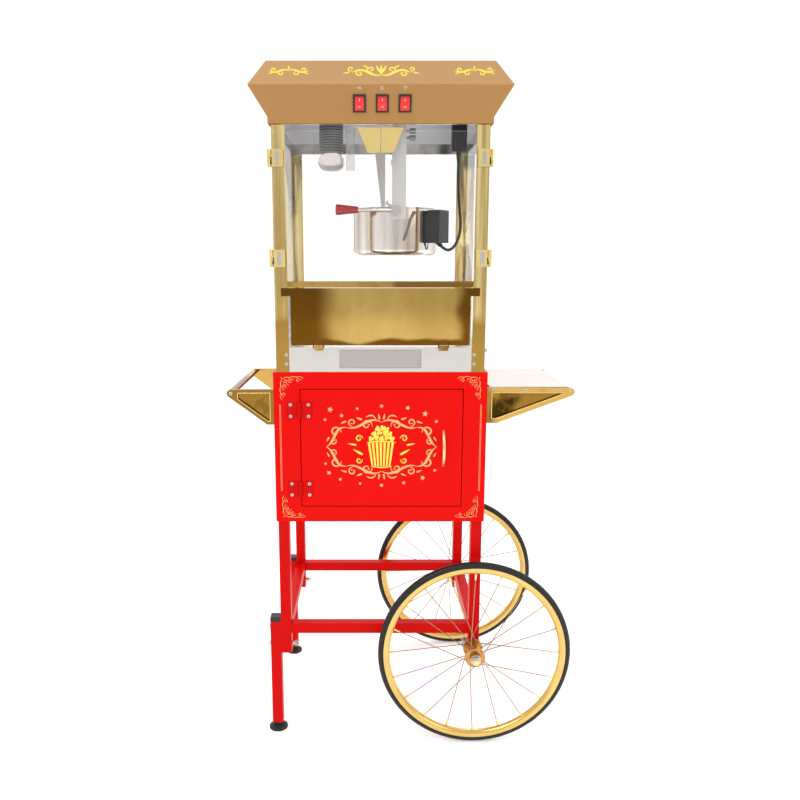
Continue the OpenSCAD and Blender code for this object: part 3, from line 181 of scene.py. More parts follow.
# Pot steel with strong vertical streaks from pale to dark: painted reflection
POT_STEEL_PAINTED_STREAKS = Finish("pot_steel_painted_reflections", "polished_steel", "eee8e0", "a89280", 0.85, 26, 0.12, 1, (120, 120, 1400),
                   0.06, 0.015, 0.08, stretch=(1, 1, 0.04), edge=0.11)
POT_WIRE = Finish("keeper_wire_steel", "polished_steel", "968e86", "706862", 0.4, 26, 0.2, 0.9, (120, 120, 1400),
                  0.06, 0.02, 0.08)
DRAWER_STEEL = Finish("drawer_sheet_steel", "stainless", "bab2ac", "a8a29c", 0.4, 6, 0.34, 1, (14, 900, 900), 0.12,
                      0.03, 0.1)
RAIL_STEEL = Finish("rail_polished_steel", "polished_steel", "ece8e2", "b0a8a0", 0.7, 9, 0.14, 1, (60, 60, 900),
                    0.05, 0.012, 0.08, edge=0.08)
GUARD_CLEAR = Finish("guard_clear_strip", "clear_glass", (0.93, 0.93, 0.93), (0.86, 0.86, 0.86), 0.4, 20, 0.06, 0,
                     60, 0.03, 0, 0.04, 0, 0.5, 0.7, 1.4)
CORNER_PRINT = Finish("ornament_gold_print", "cream_gold", "f0b878", "e2a05c", 0.5, 40, 0.4, 0.1, 900, 0.08, 0.03,
                      0.05)
YELLOW_PRINT = Finish("ornament_yellow_print", "cream_gold", "fade54", "f4ce3c", 0.4, 40, 0.42, 0, 900, 0.08, 0.03,
                      0.05)
WHITE_PRINT = Finish("icon_white_print", "tan_paint", "ece2d0", "ded2be", 0.3, 60, 0.5, 0, 900, 0.06, 0.02, 0.04)
PANE_EDGE = Finish("pane_ground_edge", "clear_glass", (0.8, 0.85, 0.83), (0.7, 0.76, 0.74), 0.3, 20, 0.3, 0, 300,
                   0.06, 0.02, 0.04, 0, 0.5, 0.35, 1.45)
HINGE_RED = Finish("hinge_red_coat", "red_gloss_sheet", "ce0805", "b40504", 0.4, 20, 0.3, 0, 260, 0.03, 0.02, 0.04,
                   0, 0.08)
RECESS_DARK = Finish("recess_shadow", "black_plastic", "34302c", "242220", 0.4, 80, 0.6, 0.2, 900, 0.08, 0.05, 0.05)


def add_node(tree: bpy.types.NodeTree, kind: str, inputs: dict[Any, Any] | None = None,
             **settings: Any) -> bpy.types.Node:
    """Adds a shader node.

    Args:
        tree: The node tree it goes into.
        kind: Its type, without the ShaderNode in front.
        inputs: Values of its input sockets.
        settings: Values of its own properties.

    Returns:
        The node.
    """
    node = tree.nodes.new("ShaderNode" + kind)
    for name, value in settings.items():
        setattr(node, name, value)
    for name, value in (inputs or {}).items():
        node.inputs[name].default_value = value
    return node


def connect(tree: bpy.types.NodeTree, nodes: dict[str, bpy.types.Node], links: str) -> None:
    """Links sockets, each link written as "node.output > node.input".

    Args:
        tree: The node tree.
        nodes: Its nodes by name.
        links: The links, with commas between them; a number gives a socket's place.
    """
    for row in links.split(","):
        ends = []
        for end, side in zip(row.split(" > "), ("outputs", "inputs")):
            node, socket = end.strip().split(".")
            ends.append(getattr(nodes[node], side)[int(socket) if socket.isdigit() else socket])
        tree.links.new(*ends)


class Workshop:
    """Builds the shared shader groups once, and one material for each finish."""

    def __init__(self) -> None:
        """Makes the groups and an empty store of materials."""
        self.drift = self._drift_group()
        self.grain = self._grain_group()
        self.window = self._painted_reflection_group()
        self.made: dict[str, bpy.types.Material] = {}

    @staticmethod
    def _group(name: str, inputs: Sequence[tuple[str, ...]],
               outputs: Sequence[tuple[str, ...]]) -> tuple[bpy.types.NodeTree, dict[str, bpy.types.Node]]:
        """Starts a shader group with named sockets.

        Args:
            name: The group's name.
            inputs: Rows of a socket type and the names of the inputs that have it.
            outputs: The same for the outputs.

        Returns:
            The group and its nodes by name: start and end so far.
        """
        group = bpy.data.node_groups.new(name, "ShaderNodeTree")
        for way, rows in (("INPUT", inputs), ("OUTPUT", outputs)):
            for kind, *labels in rows:
                for label in labels:
                    group.interface.new_socket(name=label, in_out=way, socket_type="NodeSocket" + kind)
        return group, {"start": group.nodes.new("NodeGroupInput"), "end": group.nodes.new("NodeGroupOutput")}

    def _drift_group(self) -> bpy.types.NodeTree:
        """Returns the group that drifts a colour slowly over a surface."""
        group, nodes = self._group(
            "colour_drift",
            (("Vector", "Vector", "Stretch"), ("Color", "Colour", "Tint"),
             ("Float", "Scale", "Amount", "Low", "High")),
            (("Color", "Colour"), ("Float", "Mask")))
        nodes["stretch"] = add_node(group, "VectorMath", operation="MULTIPLY")
        nodes["wide"] = add_node(group, "TexNoise", {"Detail": 4.0, "Roughness": 0.55})
        nodes["ramp"] = add_node(group, "MapRange")
        nodes["share"] = add_node(group, "Math", operation="MULTIPLY")
        nodes["mix"] = add_node(group, "Mix", data_type="RGBA")
        connect(group, nodes, """start.Vector > stretch.0, start.Stretch > stretch.1, stretch.Vector > wide.Vector,
            start.Scale > wide.Scale, start.Low > ramp.From Min, start.High > ramp.From Max, wide.Fac > ramp.Value,
            ramp.Result > share.0, start.Amount > share.1, share.Value > mix.0, start.Colour > mix.6,
            start.Tint > mix.7, mix.2 > end.Colour, ramp.Result > end.Mask""")
        return group

    def _grain_group(self) -> bpy.types.NodeTree:
        """Returns the group that gives fine grain, its height, and faint smudges in the gloss."""
        group, nodes = self._group(
            "surface_grain", (("Vector", "Vector", "Grain"), ("Float", "Roughness", "Amount", "Smudge")),
            (("Float", "Roughness", "Height"),))
        nodes["stretch"] = add_node(group, "VectorMath", operation="MULTIPLY")
        nodes["fine"] = add_node(group, "TexNoise", {"Scale": 1.0, "Detail": 3.0})
        nodes["cloud"] = add_node(group, "TexNoise", {"Scale": 17.0, "Detail": 5.0, "Roughness": 0.7})
        nodes["patch"] = add_node(group, "MapRange", {"From Min": 0.48, "From Max": 0.74})
        nodes["centre"] = add_node(group, "Math", {1: 0.5}, operation="SUBTRACT")
        for name in ("fine_share", "smudge_share"):
            nodes[name] = add_node(group, "Math", operation="MULTIPLY")
        for name in ("first", "total"):
            nodes[name] = add_node(group, "Math", operation="ADD")
        connect(group, nodes, """start.Vector > stretch.0, start.Grain > stretch.1, stretch.Vector > fine.Vector,
            start.Vector > cloud.Vector, fine.Fac > centre.0, centre.Value > fine_share.0,
            start.Amount > fine_share.1, cloud.Fac > patch.Value, patch.Result > smudge_share.0,
            start.Smudge > smudge_share.1, start.Roughness > first.0, fine_share.Value > first.1,
            first.Value > total.0, smudge_share.Value > total.1, total.Value > end.Roughness,
            fine.Fac > end.Height""")
        return group

    def _painted_reflection_group(self) -> bpy.types.NodeTree:
        """Returns the group that paints a reflection: a soft-edged bright area over a darker colour of painted shade.
        """
        group, nodes = self._group(
            "painted_reflection_glow", (("Vector", "Vector"), ("Color", "Colour", "Shade"), ("Float", *PAINTED_REFLECTION_EDGES)),
            (("Color", "Colour"),))
        nodes["split"] = add_node(group, "SeparateXYZ")
        nodes["wave"] = add_node(group, "TexNoise", {"Scale": 11.0, "Detail": 2.0})
        nodes["sway"] = add_node(group, "MapRange", {"To Min": -0.022, "To Max": 0.022})
        nodes["mix"] = add_node(group, "Mix", data_type="RGBA")
        connect(group, nodes, "start.Vector > split.Vector, start.Vector > wave.Vector, wave.Fac > sway.Value")
        for axis, edge in (("X", "Left"), ("X", "Right"), ("Z", "Low")):
            nodes["moved"] = add_node(group, "Math", operation="ADD")
            nodes["fade"] = add_node(group, "MapRange", interpolation_type="SMOOTHSTEP")
            nodes["both"] = add_node(group, "Math", {1: 1.0}, operation="MULTIPLY")
            connect(group, nodes, f"""split.{axis} > moved.0, sway.Result > moved.1, moved.Value > fade.Value,
                start.{edge} > fade.From Min, start.{edge} In > fade.From Max, fade.Result > both.0""")
            if "mask" in nodes:
                connect(group, nodes, "mask.Value > both.1")
            nodes["mask"] = nodes["both"]
        connect(group, nodes, "mask.Value > mix.0, start.Shade > mix.6, start.Colour > mix.7, mix.2 > end.Colour")
        return group

    def material(self, finish: Finish) -> bpy.types.Material:
        """Returns the material of a finish, and builds it the first time."""
        if finish.name in self.made:
            return self.made[finish.name]
        material = bpy.data.materials.new(finish.name)
        material.use_nodes = True
        tree = material.node_tree
        grain = finish.grain if isinstance(finish.grain, tuple) else (finish.grain,) * 3
        nodes = {"shader": tree.nodes["Principled BSDF"], "place": add_node(tree, "TexCoord")}
        nodes["drift"] = add_node(tree, "Group", {
            "Colour": (*linear(finish.colour), 1.0), "Tint": (*linear(finish.tint), 1.0),
            "Scale": finish.drift_scale, "Amount": finish.drift, "Stretch": finish.stretch,
            "Low": 0.5 - finish.edge, "High": 0.5 + finish.edge}, node_tree=self.drift)
        nodes["grain"] = add_node(tree, "Group", {
            "Grain": grain, "Roughness": finish.roughness, "Amount": finish.grain_rough,
            "Smudge": finish.smudge}, node_tree=self.grain)
        connect(tree, nodes, """place.Object > drift.Vector, place.Object > grain.Vector,
            grain.Roughness > shader.Roughness""")
        if finish.shade is None:
            connect(tree, nodes, "drift.Colour > shader.Base Color")
        else:
            # Painted reflection: the drift colour inside the bright area, the colour of painted shade outside it
            nodes["glow"] = add_node(tree, "Group", {
                "Shade": (*linear(finish.shade), 1.0), **dict(zip(PAINTED_REFLECTION_EDGES, finish.window))},
                node_tree=self.window)
            connect(tree, nodes, """place.Object > glow.Vector, drift.Colour > glow.Colour,
                glow.Colour > shader.Base Color""")
        if finish.bump > 0:
            nodes["bump"] = add_node(tree, "Bump", {"Strength": finish.bump, "Distance": 0.0004})
            connect(tree, nodes, "grain.Height > bump.Height, bump.Normal > shader.Normal")
        for socket, value in (("Metallic", finish.metallic), ("Specular IOR Level", finish.specular),
                              ("IOR", finish.index), ("Coat Weight", finish.coat), ("Coat Roughness", 0.06),
                              ("Transmission Weight", finish.transmission)):
            nodes["shader"].inputs[socket].default_value = value
        self.made[finish.name] = material
        return material


def placed(name: str, data: bpy.types.ID) -> bpy.types.Object:
    """Returns a new object of some data, linked to the scene."""
    made = bpy.data.objects.new(name, data)
    bpy.context.scene.collection.objects.link(made)
    return made


def extent(points: Sequence[Vector]) -> tuple[Vector, Vector]:
    """Returns the lowest and highest corner round some points."""
    return (Vector(min(p[i] for p in points) for i in range(3)), Vector(max(p[i] for p in points) for i in range(3)))


def swept(name: str, lines: Iterable[Sequence[Sequence[float]]], depth: float, resolution: int,
          twist: str = "MINIMUM", kind: str = "POLY") -> bpy.types.Mesh:
    """Returns the mesh of round tubes swept along lines.

    Args:
        name: The mesh's name.
        lines: For each tube its points, as x, y, z and a share of the radius.
        depth: The radius.
        resolution: How finely the round is cut.
        twist: How the round keeps its upright.
        kind: The spline's kind.
    """
    curve = bpy.data.curves.new(name, "CURVE")
    curve.dimensions = "3D"
    curve.bevel_depth = depth
    curve.bevel_resolution = resolution
    curve.use_fill_caps = True
    curve.twist_mode = twist
    for points in lines:
        line = curve.splines.new(kind)
        line.points.add(len(points) - 1)
        for spot, (*place, share) in zip(line.points, points):
            spot.co = (*place, 1)
            spot.radius = share
        if kind == "NURBS":
            line.order_u = 3
            line.use_endpoint_u = True
    rough = bpy.data.objects.new(name, curve)
    data = bpy.data.meshes.new_from_object(rough)
    bpy.data.objects.remove(rough)
    return data


@dataclass
class Maker:
    """Turns finished bmeshes into pieces that ride on a body."""

    frame: dict
    workshop: Workshop

    def piece(self, name: str, mesh: bmesh.types.BMesh, finish: Finish, body: str,
              smooth: float = 35.0, bevel: float = 0.0, second: Finish | None = None) -> bpy.types.Object:
        """Makes one piece from a bmesh and frees the bmesh.

        Args:
            name: The piece's name.
            mesh: Its shape, in place in the row frame, in metres.
            finish: Its finish.
            body: The body that it rides on.
            smooth: Edges flatter than this, in degrees, are shaded smooth.
            bevel: Width of a small rounding on its sharp edges, or 0.
            second: The finish of its faces that have material 1.

        Returns:
            The new object.
        """
        data = bpy.data.meshes.new(name)
        for face in mesh.faces:
            face.smooth = True
        mesh.to_mesh(data)
        mesh.free()
        data.set_sharp_from_angle(angle=math.radians(smooth))
        data.materials.append(self.workshop.material(finish))
        if second is not None:
            data.materials.append(self.workshop.material(second))
        made = placed(name, data)
        if bevel > 0:
            rounding = made.modifiers.new("edge_rounding", "BEVEL")
            rounding.width = bevel
            rounding.segments = 2
            rounding.profile = 0.5
            rounding.limit_method = "ANGLE"
            rounding.angle_limit = math.radians(32)
            rounding.harden_normals = True
        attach(made, body)
        return made

    def merged(self, node: str) -> bmesh.types.BMesh:
        """Returns a merged copy of a CAD node's mesh, with its flat faces whole again."""
        shape = bmesh.new()
        shape.from_mesh(self.frame["nodes"][node].data)
        for layer in list(shape.loops.layers.float_vector) + list(shape.loops.layers.uv):
            if layer.name.startswith("custom_normal"):
                shape.loops.layers.float_vector.remove(layer)
        bmesh.ops.remove_doubles(shape, verts=shape.verts, dist=2e-6)
        bmesh.ops.dissolve_limit(shape, angle_limit=math.radians(0.4), verts=shape.verts, edges=shape.edges)
        return shape

    def skin(self, node: str, finish: Finish, bevel: float, second: Finish | None = None,
             chosen: Callable[[Vector, Vector], bool] | None = None) -> None:
        """Makes a smooth-shaded copy of a CAD node that stands for it.

        Args:
            node: The CAD node.
            finish: Its finish.
            bevel: Width of its edges' rounding, or 0.
            second: Another finish for some of its faces.
            chosen: Tells from a face's middle and normal whether it takes the second finish.
        """
        body = next(b for b, names in self.frame["record"]["behaviour"]["bodies"].items() if node in names)
        shape = self.merged(node)
        for face in shape.faces:
            face.material_index = int(chosen is not None and chosen(face.calc_center_median(), face.normal))
        made = self.piece(node + "_finished", shape, finish, body, 32.0, bevel, second)
        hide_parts(node)
        log.info("finished %s as %s", node, finish.name)

    def swept_piece(self, name: str, data: bpy.types.Mesh, finish: Finish, body: str, smooth: float,
                    change: Callable[[bmesh.types.BMesh], None] | None = None) -> None:
        """Makes a piece from a swept mesh, changed first if asked, and frees the mesh."""
        shape = bmesh.new()
        shape.from_mesh(data)
        bpy.data.meshes.remove(data)
        if change is not None:
            change(shape)
        self.piece(name, shape, finish, body, smooth)

    def islands(self, node: str) -> list[list[Vector]]:
        """Returns the corner points of each separate solid of a CAD node."""
        shape = self.merged(node)
        left, groups = set(shape.verts), []
        for first in shape.verts:
            if first not in left:
                continue
            left.discard(first)
            stack, seen = [first], []
            while stack:
                vert = stack.pop()
                seen.append(vert.co.copy())
                for edge in vert.link_edges:
                    other = edge.other_vert(vert)
                    if other in left:
                        left.discard(other)
                        stack.append(other)
            groups.append(seen)
        shape.free()
        return groups


@dataclass
class Detail:
    """A set of pieces that one maker makes."""

    maker: Maker


def add_cone(shape: bmesh.types.BMesh, start: Vector, end: Vector, radius: float, tip: float,
             segments: int = 20) -> None:
    """Adds a closed cone or cylinder between two points.

    Args:
        shape: The bmesh it goes into.
        start: Centre of the first end.
        end: Centre of the second end.
        radius: Radius at the first end.
        tip: Radius at the second end.
        segments: Number of sides.
    """
    run = end - start
    bmesh.ops.create_cone(shape, cap_ends=True, segments=segments, radius1=radius, radius2=tip,
                          depth=run.length, matrix=Matrix.Translation((start + end) / 2)
                          @ run.to_track_quat("Z", "Y").to_matrix().to_4x4())


def add_block(shape: bmesh.types.BMesh, low: Sequence[float], high: Sequence[float],
              turn: Matrix | None = None) -> list[bmesh.types.BMVert]:
    """Adds a block given by its corners, turned about the origin if asked.

    Args:
        shape: The bmesh it goes into.
        low: Its lowest corner.
        high: Its highest corner.
        turn: A transform applied after it is in place.

    Returns:
        Its vertices.
    """
    low, high = Vector(low), Vector(high)
    made = bmesh.ops.create_cube(shape, size=1.0)["verts"]
    bmesh.ops.scale(shape, vec=high - low, verts=made)
    bmesh.ops.translate(shape, vec=(low + high) / 2, verts=made)
    if turn is not None:
        bmesh.ops.transform(shape, matrix=turn, verts=made)
    return made


@dataclass
class Studio:
    """The plain floor, the soft lights and the camera."""

    lens: float = 34.38
    shift: float = 0.0323
    eye: tuple[float, float, float] = (-0.06425, -1.9247, 1.1473)
    pitch: float = 79.64

    def build_camera(self) -> None:
        """Makes the camera."""
        data = bpy.data.cameras.new("view")
        data.lens = self.lens
        data.sensor_width = 36.0
        data.shift_x = self.shift
        data.clip_start = 0.05
        camera = placed("view", data)
        camera.location = self.eye
        camera.rotation_euler = (math.radians(self.pitch), 0.0, 0.0)
        bpy.context.scene.camera = camera

    def build_floor(self) -> None:
        """Makes the wide pale floor."""
        shape = bmesh.new()
        bmesh.ops.create_grid(shape, x_segments=1, y_segments=1, size=14.0)
        data = bpy.data.meshes.new("floor")
        shape.to_mesh(data)
        shape.free()
        floor = placed("floor", data)
        material = bpy.data.materials.new("floor_white")
        material.use_nodes = True
        shader = material.node_tree.nodes["Principled BSDF"]
        for socket, value in (("Base Color", (0.9, 0.9, 0.9, 1)), ("Roughness", 0.85), ("Specular IOR Level", 0.15),
                              ("Emission Color", (1, 1, 1, 1)), ("Emission Strength", 0.3)):
            shader.inputs[socket].default_value = value
        data.materials.append(material)

    def build_light(self) -> None:
        """Makes the even sky and three soft panels."""
        world = bpy.data.worlds.new("studio")
        bpy.context.scene.world = world
        world.use_nodes = True
        tree = world.node_tree
        nodes = {"ground": tree.nodes["Background"], "place": add_node(tree, "TexCoord"),
                 "split": add_node(tree, "SeparateXYZ"), "rays": add_node(tree, "LightPath"),
                 "turn": add_node(tree, "MapRange", {"From Min": -1.0, "From Max": 0.35}),
                 "ramp": add_node(tree, "ValToRGB"), "seen": add_node(tree, "Mix", {7: BACK_SKY}, data_type="RGBA")}
        for stop, colour in zip(nodes["ramp"].color_ramp.elements, (FRONT_SKY, BACK_SKY)):
            stop.color = colour
        nodes["ground"].inputs["Strength"].default_value = 1.0
        # What the camera sees directly is all one white
        connect(tree, nodes, """place.Generated > split.Vector, split.Y > turn.Value, turn.Result > ramp.Fac,
            rays.Is Camera Ray > seen.0, ramp.Color > seen.6, seen.2 > ground.Color""")
        for name, spot, size, power in (("key", (-1.6, -2.4, 3.8), 2.0, 44.0), ("fill", (2.6, -2.4, 2.2), 1.8, 14.0),
                                        ("back", (0.4, 2.8, 3.2), 2.4, 30.0)):
            data = bpy.data.lights.new(name, "AREA")
            data.size = size
            data.energy = power
            light = placed(name, data)
            light.location = spot
            light.rotation_euler = (Vector((0, 0, 0.9)) - Vector(spot)).to_track_quat("-Z", "Y").to_euler()
        bpy.context.scene.view_settings.view_transform = "Standard"


@dataclass
class KettleLead(Detail):
    """The kettle's black lead, from the ceiling socket round to its plug."""

    diameter: float = 0.007
    relief_length: float = 0.026
    relief_top: float = 0.0068
    relief_end: float = 0.0042
    shift: tuple[float, float] = (-0.05015, -0.2045)
    route: tuple[tuple[float, float, float], ...] = (
        (0.190, 0.200, 1.4037), (0.190, 0.199, 1.380), (0.189, 0.192, 1.350), (0.189, 0.181, 1.315),
        (0.190, 0.167, 1.275), (0.192, 0.153, 1.242), (0.190, 0.141, 1.215), (0.183, 0.130, 1.193),
        (0.173, 0.120, 1.178), (0.162, 0.111, 1.1715), (0.1515, 0.105, 1.1735), (0.142, 0.101, 1.1808))

    def path(self, steps: int = 6) -> list[Vector]:
        """Returns close points of a smooth curve through the route."""
        spots = [Vector((x + self.shift[0], y + self.shift[1], z)) for x, y, z in self.route]
        fine: list[Vector] = []
        for index in range(len(spots) - 1):
            before, here = spots[max(index - 1, 0)], spots[index]
            there, after = spots[index + 1], spots[min(index + 2, len(spots) - 1)]
            for step in range(steps):
                t = step / steps
                fine.append(0.5 * (2 * here + (there - before) * t
                                   + (2 * before - 5 * here + 4 * there - after) * t * t
                                   + (3 * here - before - 3 * there + after) * t ** 3))
        return fine + [spots[-1]]

    def build(self) -> None:
        """Makes the lead and its strain relief."""
        points = self.path()
        data = swept("lead_line", [[(*spot, 1) for spot in points]], self.diameter / 2, 4)
        data.name = "kettle_lead"
        data.materials.clear()
        data.materials.append(self.maker.workshop.material(LEAD_RUBBER))
        for face in data.polygons:
            face.use_smooth = True
        lead = placed("kettle_lead", data)
        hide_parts("kettle_cord")
        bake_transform(lead)
        relief = bmesh.new()
        top = points[0] + Vector((0, 0, 0.001))
        add_cone(relief, top, top - Vector((0, 0, self.relief_length)), self.relief_top, self.relief_end, 24)
        self.maker.piece("lead_relief", relief, LEAD_RUBBER, "cart", 40.0, 0.0006)


# Finish, width of the edges' rounding in metres, and the CAD nodes that have them
SKINS = (
    (FRAME_RED, 0.0012, "main_legs lower_rails extension_legs"), (BLACK_PLASTIC, 0.0006, "tube_plugs"),
    (FOOT_RUBBER, 0.0008, "foot_front foot_rear"), (ZINC, 0.0003, "leg_fasteners"), (PLATE_GOLD, 0.0004, "axle"),
    (ZINC, 0.0004, "axle_hardware"), (TYRE_RUBBER, 0, "front_tyre rear_tyre"),
    (RIM_GOLD, 0.0005, "front_rim rear_rim"), (SPOKE_WIRE, 0, "front_spokes rear_spokes"),
    (HUB_GOLD, 0.0005, "front_hub rear_hub"), (SHEET_RED, 0.0006, "cabinet_shell cart_door"),
    (PULL_GOLD, 0, "cart_door_handle"), (HINGE_RED, 0.0003, "hinge_frame_leaves hinge_door_leaves"),
    (ZINC, 0, "hinge_door_screws body_screws"), (MIRROR_GOLD_PAINTED_REFLECTIONS, 0.0005, "side_brackets cross_bars"),
    (TRAY_STEEL, 0.0005, "shelf_tray"), (STEEL_SHEET, 0.0004, "machine_base"), (STEEL_SHEET, 0, "popcorn_deck"),
    (DRAWER_STEEL, 0.0004, "crumb_drawer"), (PANEL_GOLD_PAINTED_REFLECTION, 0.0004, "serving_panel"), (COLUMN_GOLD_PAINTED_SHEEN, 0.0006, "columns"),
    (MIRROR_GOLD_PAINTED_REFLECTIONS, 0.0004, "cabin_rails"), (PANE, 0, "fixed_glass left_glass_door right_glass_door"),
    (PLATE_GOLD, 0.0003, "left_door_fittings right_door_fittings glass_door_hinges"),
    (CANOPY_TAN, 0.0008, "canopy"), (CEILING_STEEL_PAINTED_LIGHT, 0.0005, "ceiling_pan"),
    (BLACK_PLASTIC, 0.0004, "switch_bezels"), (ROCKER_RED, 0.0006, "rocker_left rocker_middle rocker_right"),
    (GREY_METAL, 0.0005, "lamp_housing"), (BULB_GLASS, 0, "lamp_bulb"), (GREY_METAL, 0.0008, "gearmotor"),
    (STEEL_POLISHED, 0.0004, "drive_shaft"), (ARM_STEEL_PAINTED_LIGHT, 0.0003, "hanger_arms"), (POT_STEEL_PAINTED_STREAKS, 0.0004, "kettle_pot"),
    (STEEL_POLISHED, 0.0003, "kettle_bridge"), (STEEL_POLISHED, 0.0002, "kettle_lid_left kettle_lid_right"),
    (STEEL_POLISHED, 0.0003, "kettle_handle"), (GRIP_RED, 0, "kettle_grip"), (BLACK_PLASTIC, 0.0035, "kettle_plug"),
    (BLACK_PLASTIC, 0.001, "cord_socket"), (STEEL_POLISHED, 0.0003, "stirrer"))


class CadSkins(Detail):
    """The CAD nodes, each with its own finish and softened edges."""

    def build(self) -> None:
        """Makes every skin."""
        _, rail_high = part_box("cabin_rails")
        _, guard_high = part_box("lamp_housing")
        bracket_low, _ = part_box("side_brackets")
        special: dict[str, tuple[Finish, Callable[[Vector, Vector], bool]]] = {
            # Up-facing canopy faces take the lighter copy of the paint: painted light
            "canopy": (CANOPY_LIT_TOP, lambda _, out: out.z > 0.3),
            "cabin_rails": (RAIL_STEEL, lambda at, _: at.z > rail_high.z - 0.06),
            "fixed_glass": (PANE_EDGE, lambda _, out: abs(out.z) > 0.5),
            "left_glass_door": (PANE_EDGE, lambda _, out: abs(out.y) < 0.5),
            "right_glass_door": (PANE_EDGE, lambda _, out: abs(out.y) < 0.5),
            "lamp_housing": (GUARD_CLEAR, lambda at, _: at.x > guard_high.x - 0.0215),
            # The brackets' recess floors take the darker gold: painted shade
            "side_brackets": (RECESS_GOLD_PAINTED_SHADE, lambda at, out: out.y < -0.9 and bracket_low.y + 0.0008 < at.y < 0.0),
        }
        for finish, bevel, nodes in SKINS:
            for node in nodes.split():
                self.maker.skin(node, finish, bevel, *special.get(node, ()))


@dataclass(frozen=True)
class Stroke:
    """One printed brush stroke: its line and its width along it, in the ornament's own plane."""

    line: tuple[Point2, ...]
    widths: tuple[float, ...]

    def moved(self, scale: Point2, shift: Point2 = (0.0, 0.0)) -> "Stroke":
        """Returns the stroke scaled and shifted; a negative scale mirrors it."""
        size = (abs(scale[0]) + abs(scale[1])) / 2
        return Stroke(tuple((u * scale[0] + shift[0], v * scale[1] + shift[1]) for u, v in self.line),
                      tuple(width * size for width in self.widths))

    def thinned(self, share: float) -> "Stroke":
        """Returns the stroke with its widths scaled."""
        return Stroke(self.line, tuple(width * share for width in self.widths))

    def swapped(self) -> "Stroke":
        """Returns the stroke mirrored about the plane's diagonal."""
        return Stroke(tuple((v, u) for u, v in self.line), self.widths)


def curl(centre: Point2, radius: float, start: float, sweep: float, width: float, inner: float = 0.3) -> Stroke:
    """Returns a spiral that winds inwards to a round drop.

    Args:
        centre: Its middle.
        radius: Radius at its start.
        start: Angle of its start, in degrees.
        sweep: Degrees it winds through, negative for clockwise.
        width: Its widest stroke.
        inner: The last radius as a share of the first.

    Returns:
        The stroke.
    """
    line, widths, steps = [], [], 26
    for step in range(steps + 1):
        share = step / steps
        angle = math.radians(start + sweep * share)
        reach = radius * (1 - (1 - inner) * share ** 0.8)
        line.append((centre[0] + reach * math.cos(angle), centre[1] + reach * math.sin(angle)))
        swell = 0.25 + 0.75 * math.sin(math.pi * min(share * 1.15, 1.0)) ** 0.8
        widths.append(width * (1.5 if share > 0.94 else swell))
    return Stroke(tuple(line), tuple(widths))


def sweep(points: Sequence[Point2], width: float) -> Stroke:
    """Returns a tapered stroke along a cubic curve through four control points."""
    line, widths, steps = [], [], 18
    for step in range(steps + 1):
        t = step / steps
        parts = ((1 - t) ** 3, 3 * t * (1 - t) ** 2, 3 * t * t * (1 - t), t ** 3)
        line.append((sum(w * p[0] for w, p in zip(parts, points)), sum(w * p[1] for w, p in zip(parts, points))))
        widths.append(width * (0.12 + 0.88 * math.sin(math.pi * t) ** 0.8))
    return Stroke(tuple(line), tuple(widths))


def drop(centre: Point2, angle: float, length: float, width: float) -> Stroke:
    """Returns a short leaf, round at one end and pointed at the other."""
    line, widths, steps = [], [], 8
    for step in range(steps + 1):
        share = step / steps
        line.append((centre[0] + length * (share - 0.5) * math.cos(math.radians(angle)),
                     centre[1] + length * (share - 0.5) * math.sin(math.radians(angle))))
        widths.append(width * math.sin(math.pi * min(0.15 + share * 0.85, 1.0)) ** 0.7 * (1.15 - share * 0.6))
    return Stroke(tuple(line), tuple(widths))


def plane_at(middle: Vector, across: Vector, up: Vector) -> Matrix:
    """Returns where a flat print lies, from its origin and its two directions in the row frame."""
    across, up = across.normalized(), up.normalized()
    plane = Matrix((across, up, across.cross(up))).transposed().to_4x4()
    plane.translation = middle
    return plane


@dataclass
class Printer(Detail):
    """Lays printed ornament on a face as very thin raised shapes."""

    thickness: float = 0.00024

    def strokes(self, name: str, strokes: Iterable[Stroke], plane: Matrix, finish: Finish, body: str) -> None:
        """Prints a set of strokes as one piece.

        Args:
            name: The piece's name.
            strokes: The strokes, in metres in the plane.
            plane: Where the print lies.
            finish: Its ink.
            body: The body that it rides on.
        """
        def flatten(shape: bmesh.types.BMesh) -> None:
            """Presses the round strokes flat and lays them on the plane."""
            deepest = max((abs(vert.co.z) for vert in shape.verts), default=1.0)
            bmesh.ops.scale(shape, vec=(1, 1, self.thickness / deepest), verts=shape.verts)
            bmesh.ops.transform(shape, matrix=plane, verts=shape.verts)

        lines = [[(u, v, 0, max(width / 2, 0.00008)) for (u, v), width in zip(stroke.line, stroke.widths)]
                 for stroke in strokes]
        self.maker.swept_piece(name, swept(name, lines, 1.0, 1, "Z_UP"), finish, body, 180.0, flatten)
        log.info("printed %s", name)

    def flat(self, name: str, shape: bmesh.types.BMesh, plane: Matrix, finish: Finish, body: str) -> None:
        """Prints flat faces, drawn in the plane, as one thin raised piece."""
        made = bmesh.ops.extrude_face_region(shape, geom=list(shape.faces))["geom"]
        raised = [item for item in made if isinstance(item, bmesh.types.BMVert)]
        bmesh.ops.translate(shape, vec=(0, 0, self.thickness), verts=raised)
        bmesh.ops.recalc_face_normals(shape, faces=shape.faces)
        bmesh.ops.transform(shape, matrix=plane, verts=shape.verts)
        self.maker.piece(name, shape, finish, body, 30.0)
        log.info("printed %s", name)


def add_star(shape: bmesh.types.BMesh, centre: Point2, radius: float, turn: float) -> None:
    """Adds a flat star to a print."""
    ring = bmesh.ops.create_circle(shape, cap_ends=True, segments=10, radius=radius)["verts"]
    bmesh.ops.scale(shape, vec=(0.42, 0.42, 1), verts=ring[::2])
    bmesh.ops.rotate(shape, matrix=Matrix.Rotation(math.radians(turn), 3, "Z"), verts=ring)
    bmesh.ops.translate(shape, vec=(*centre, 0), verts=ring)


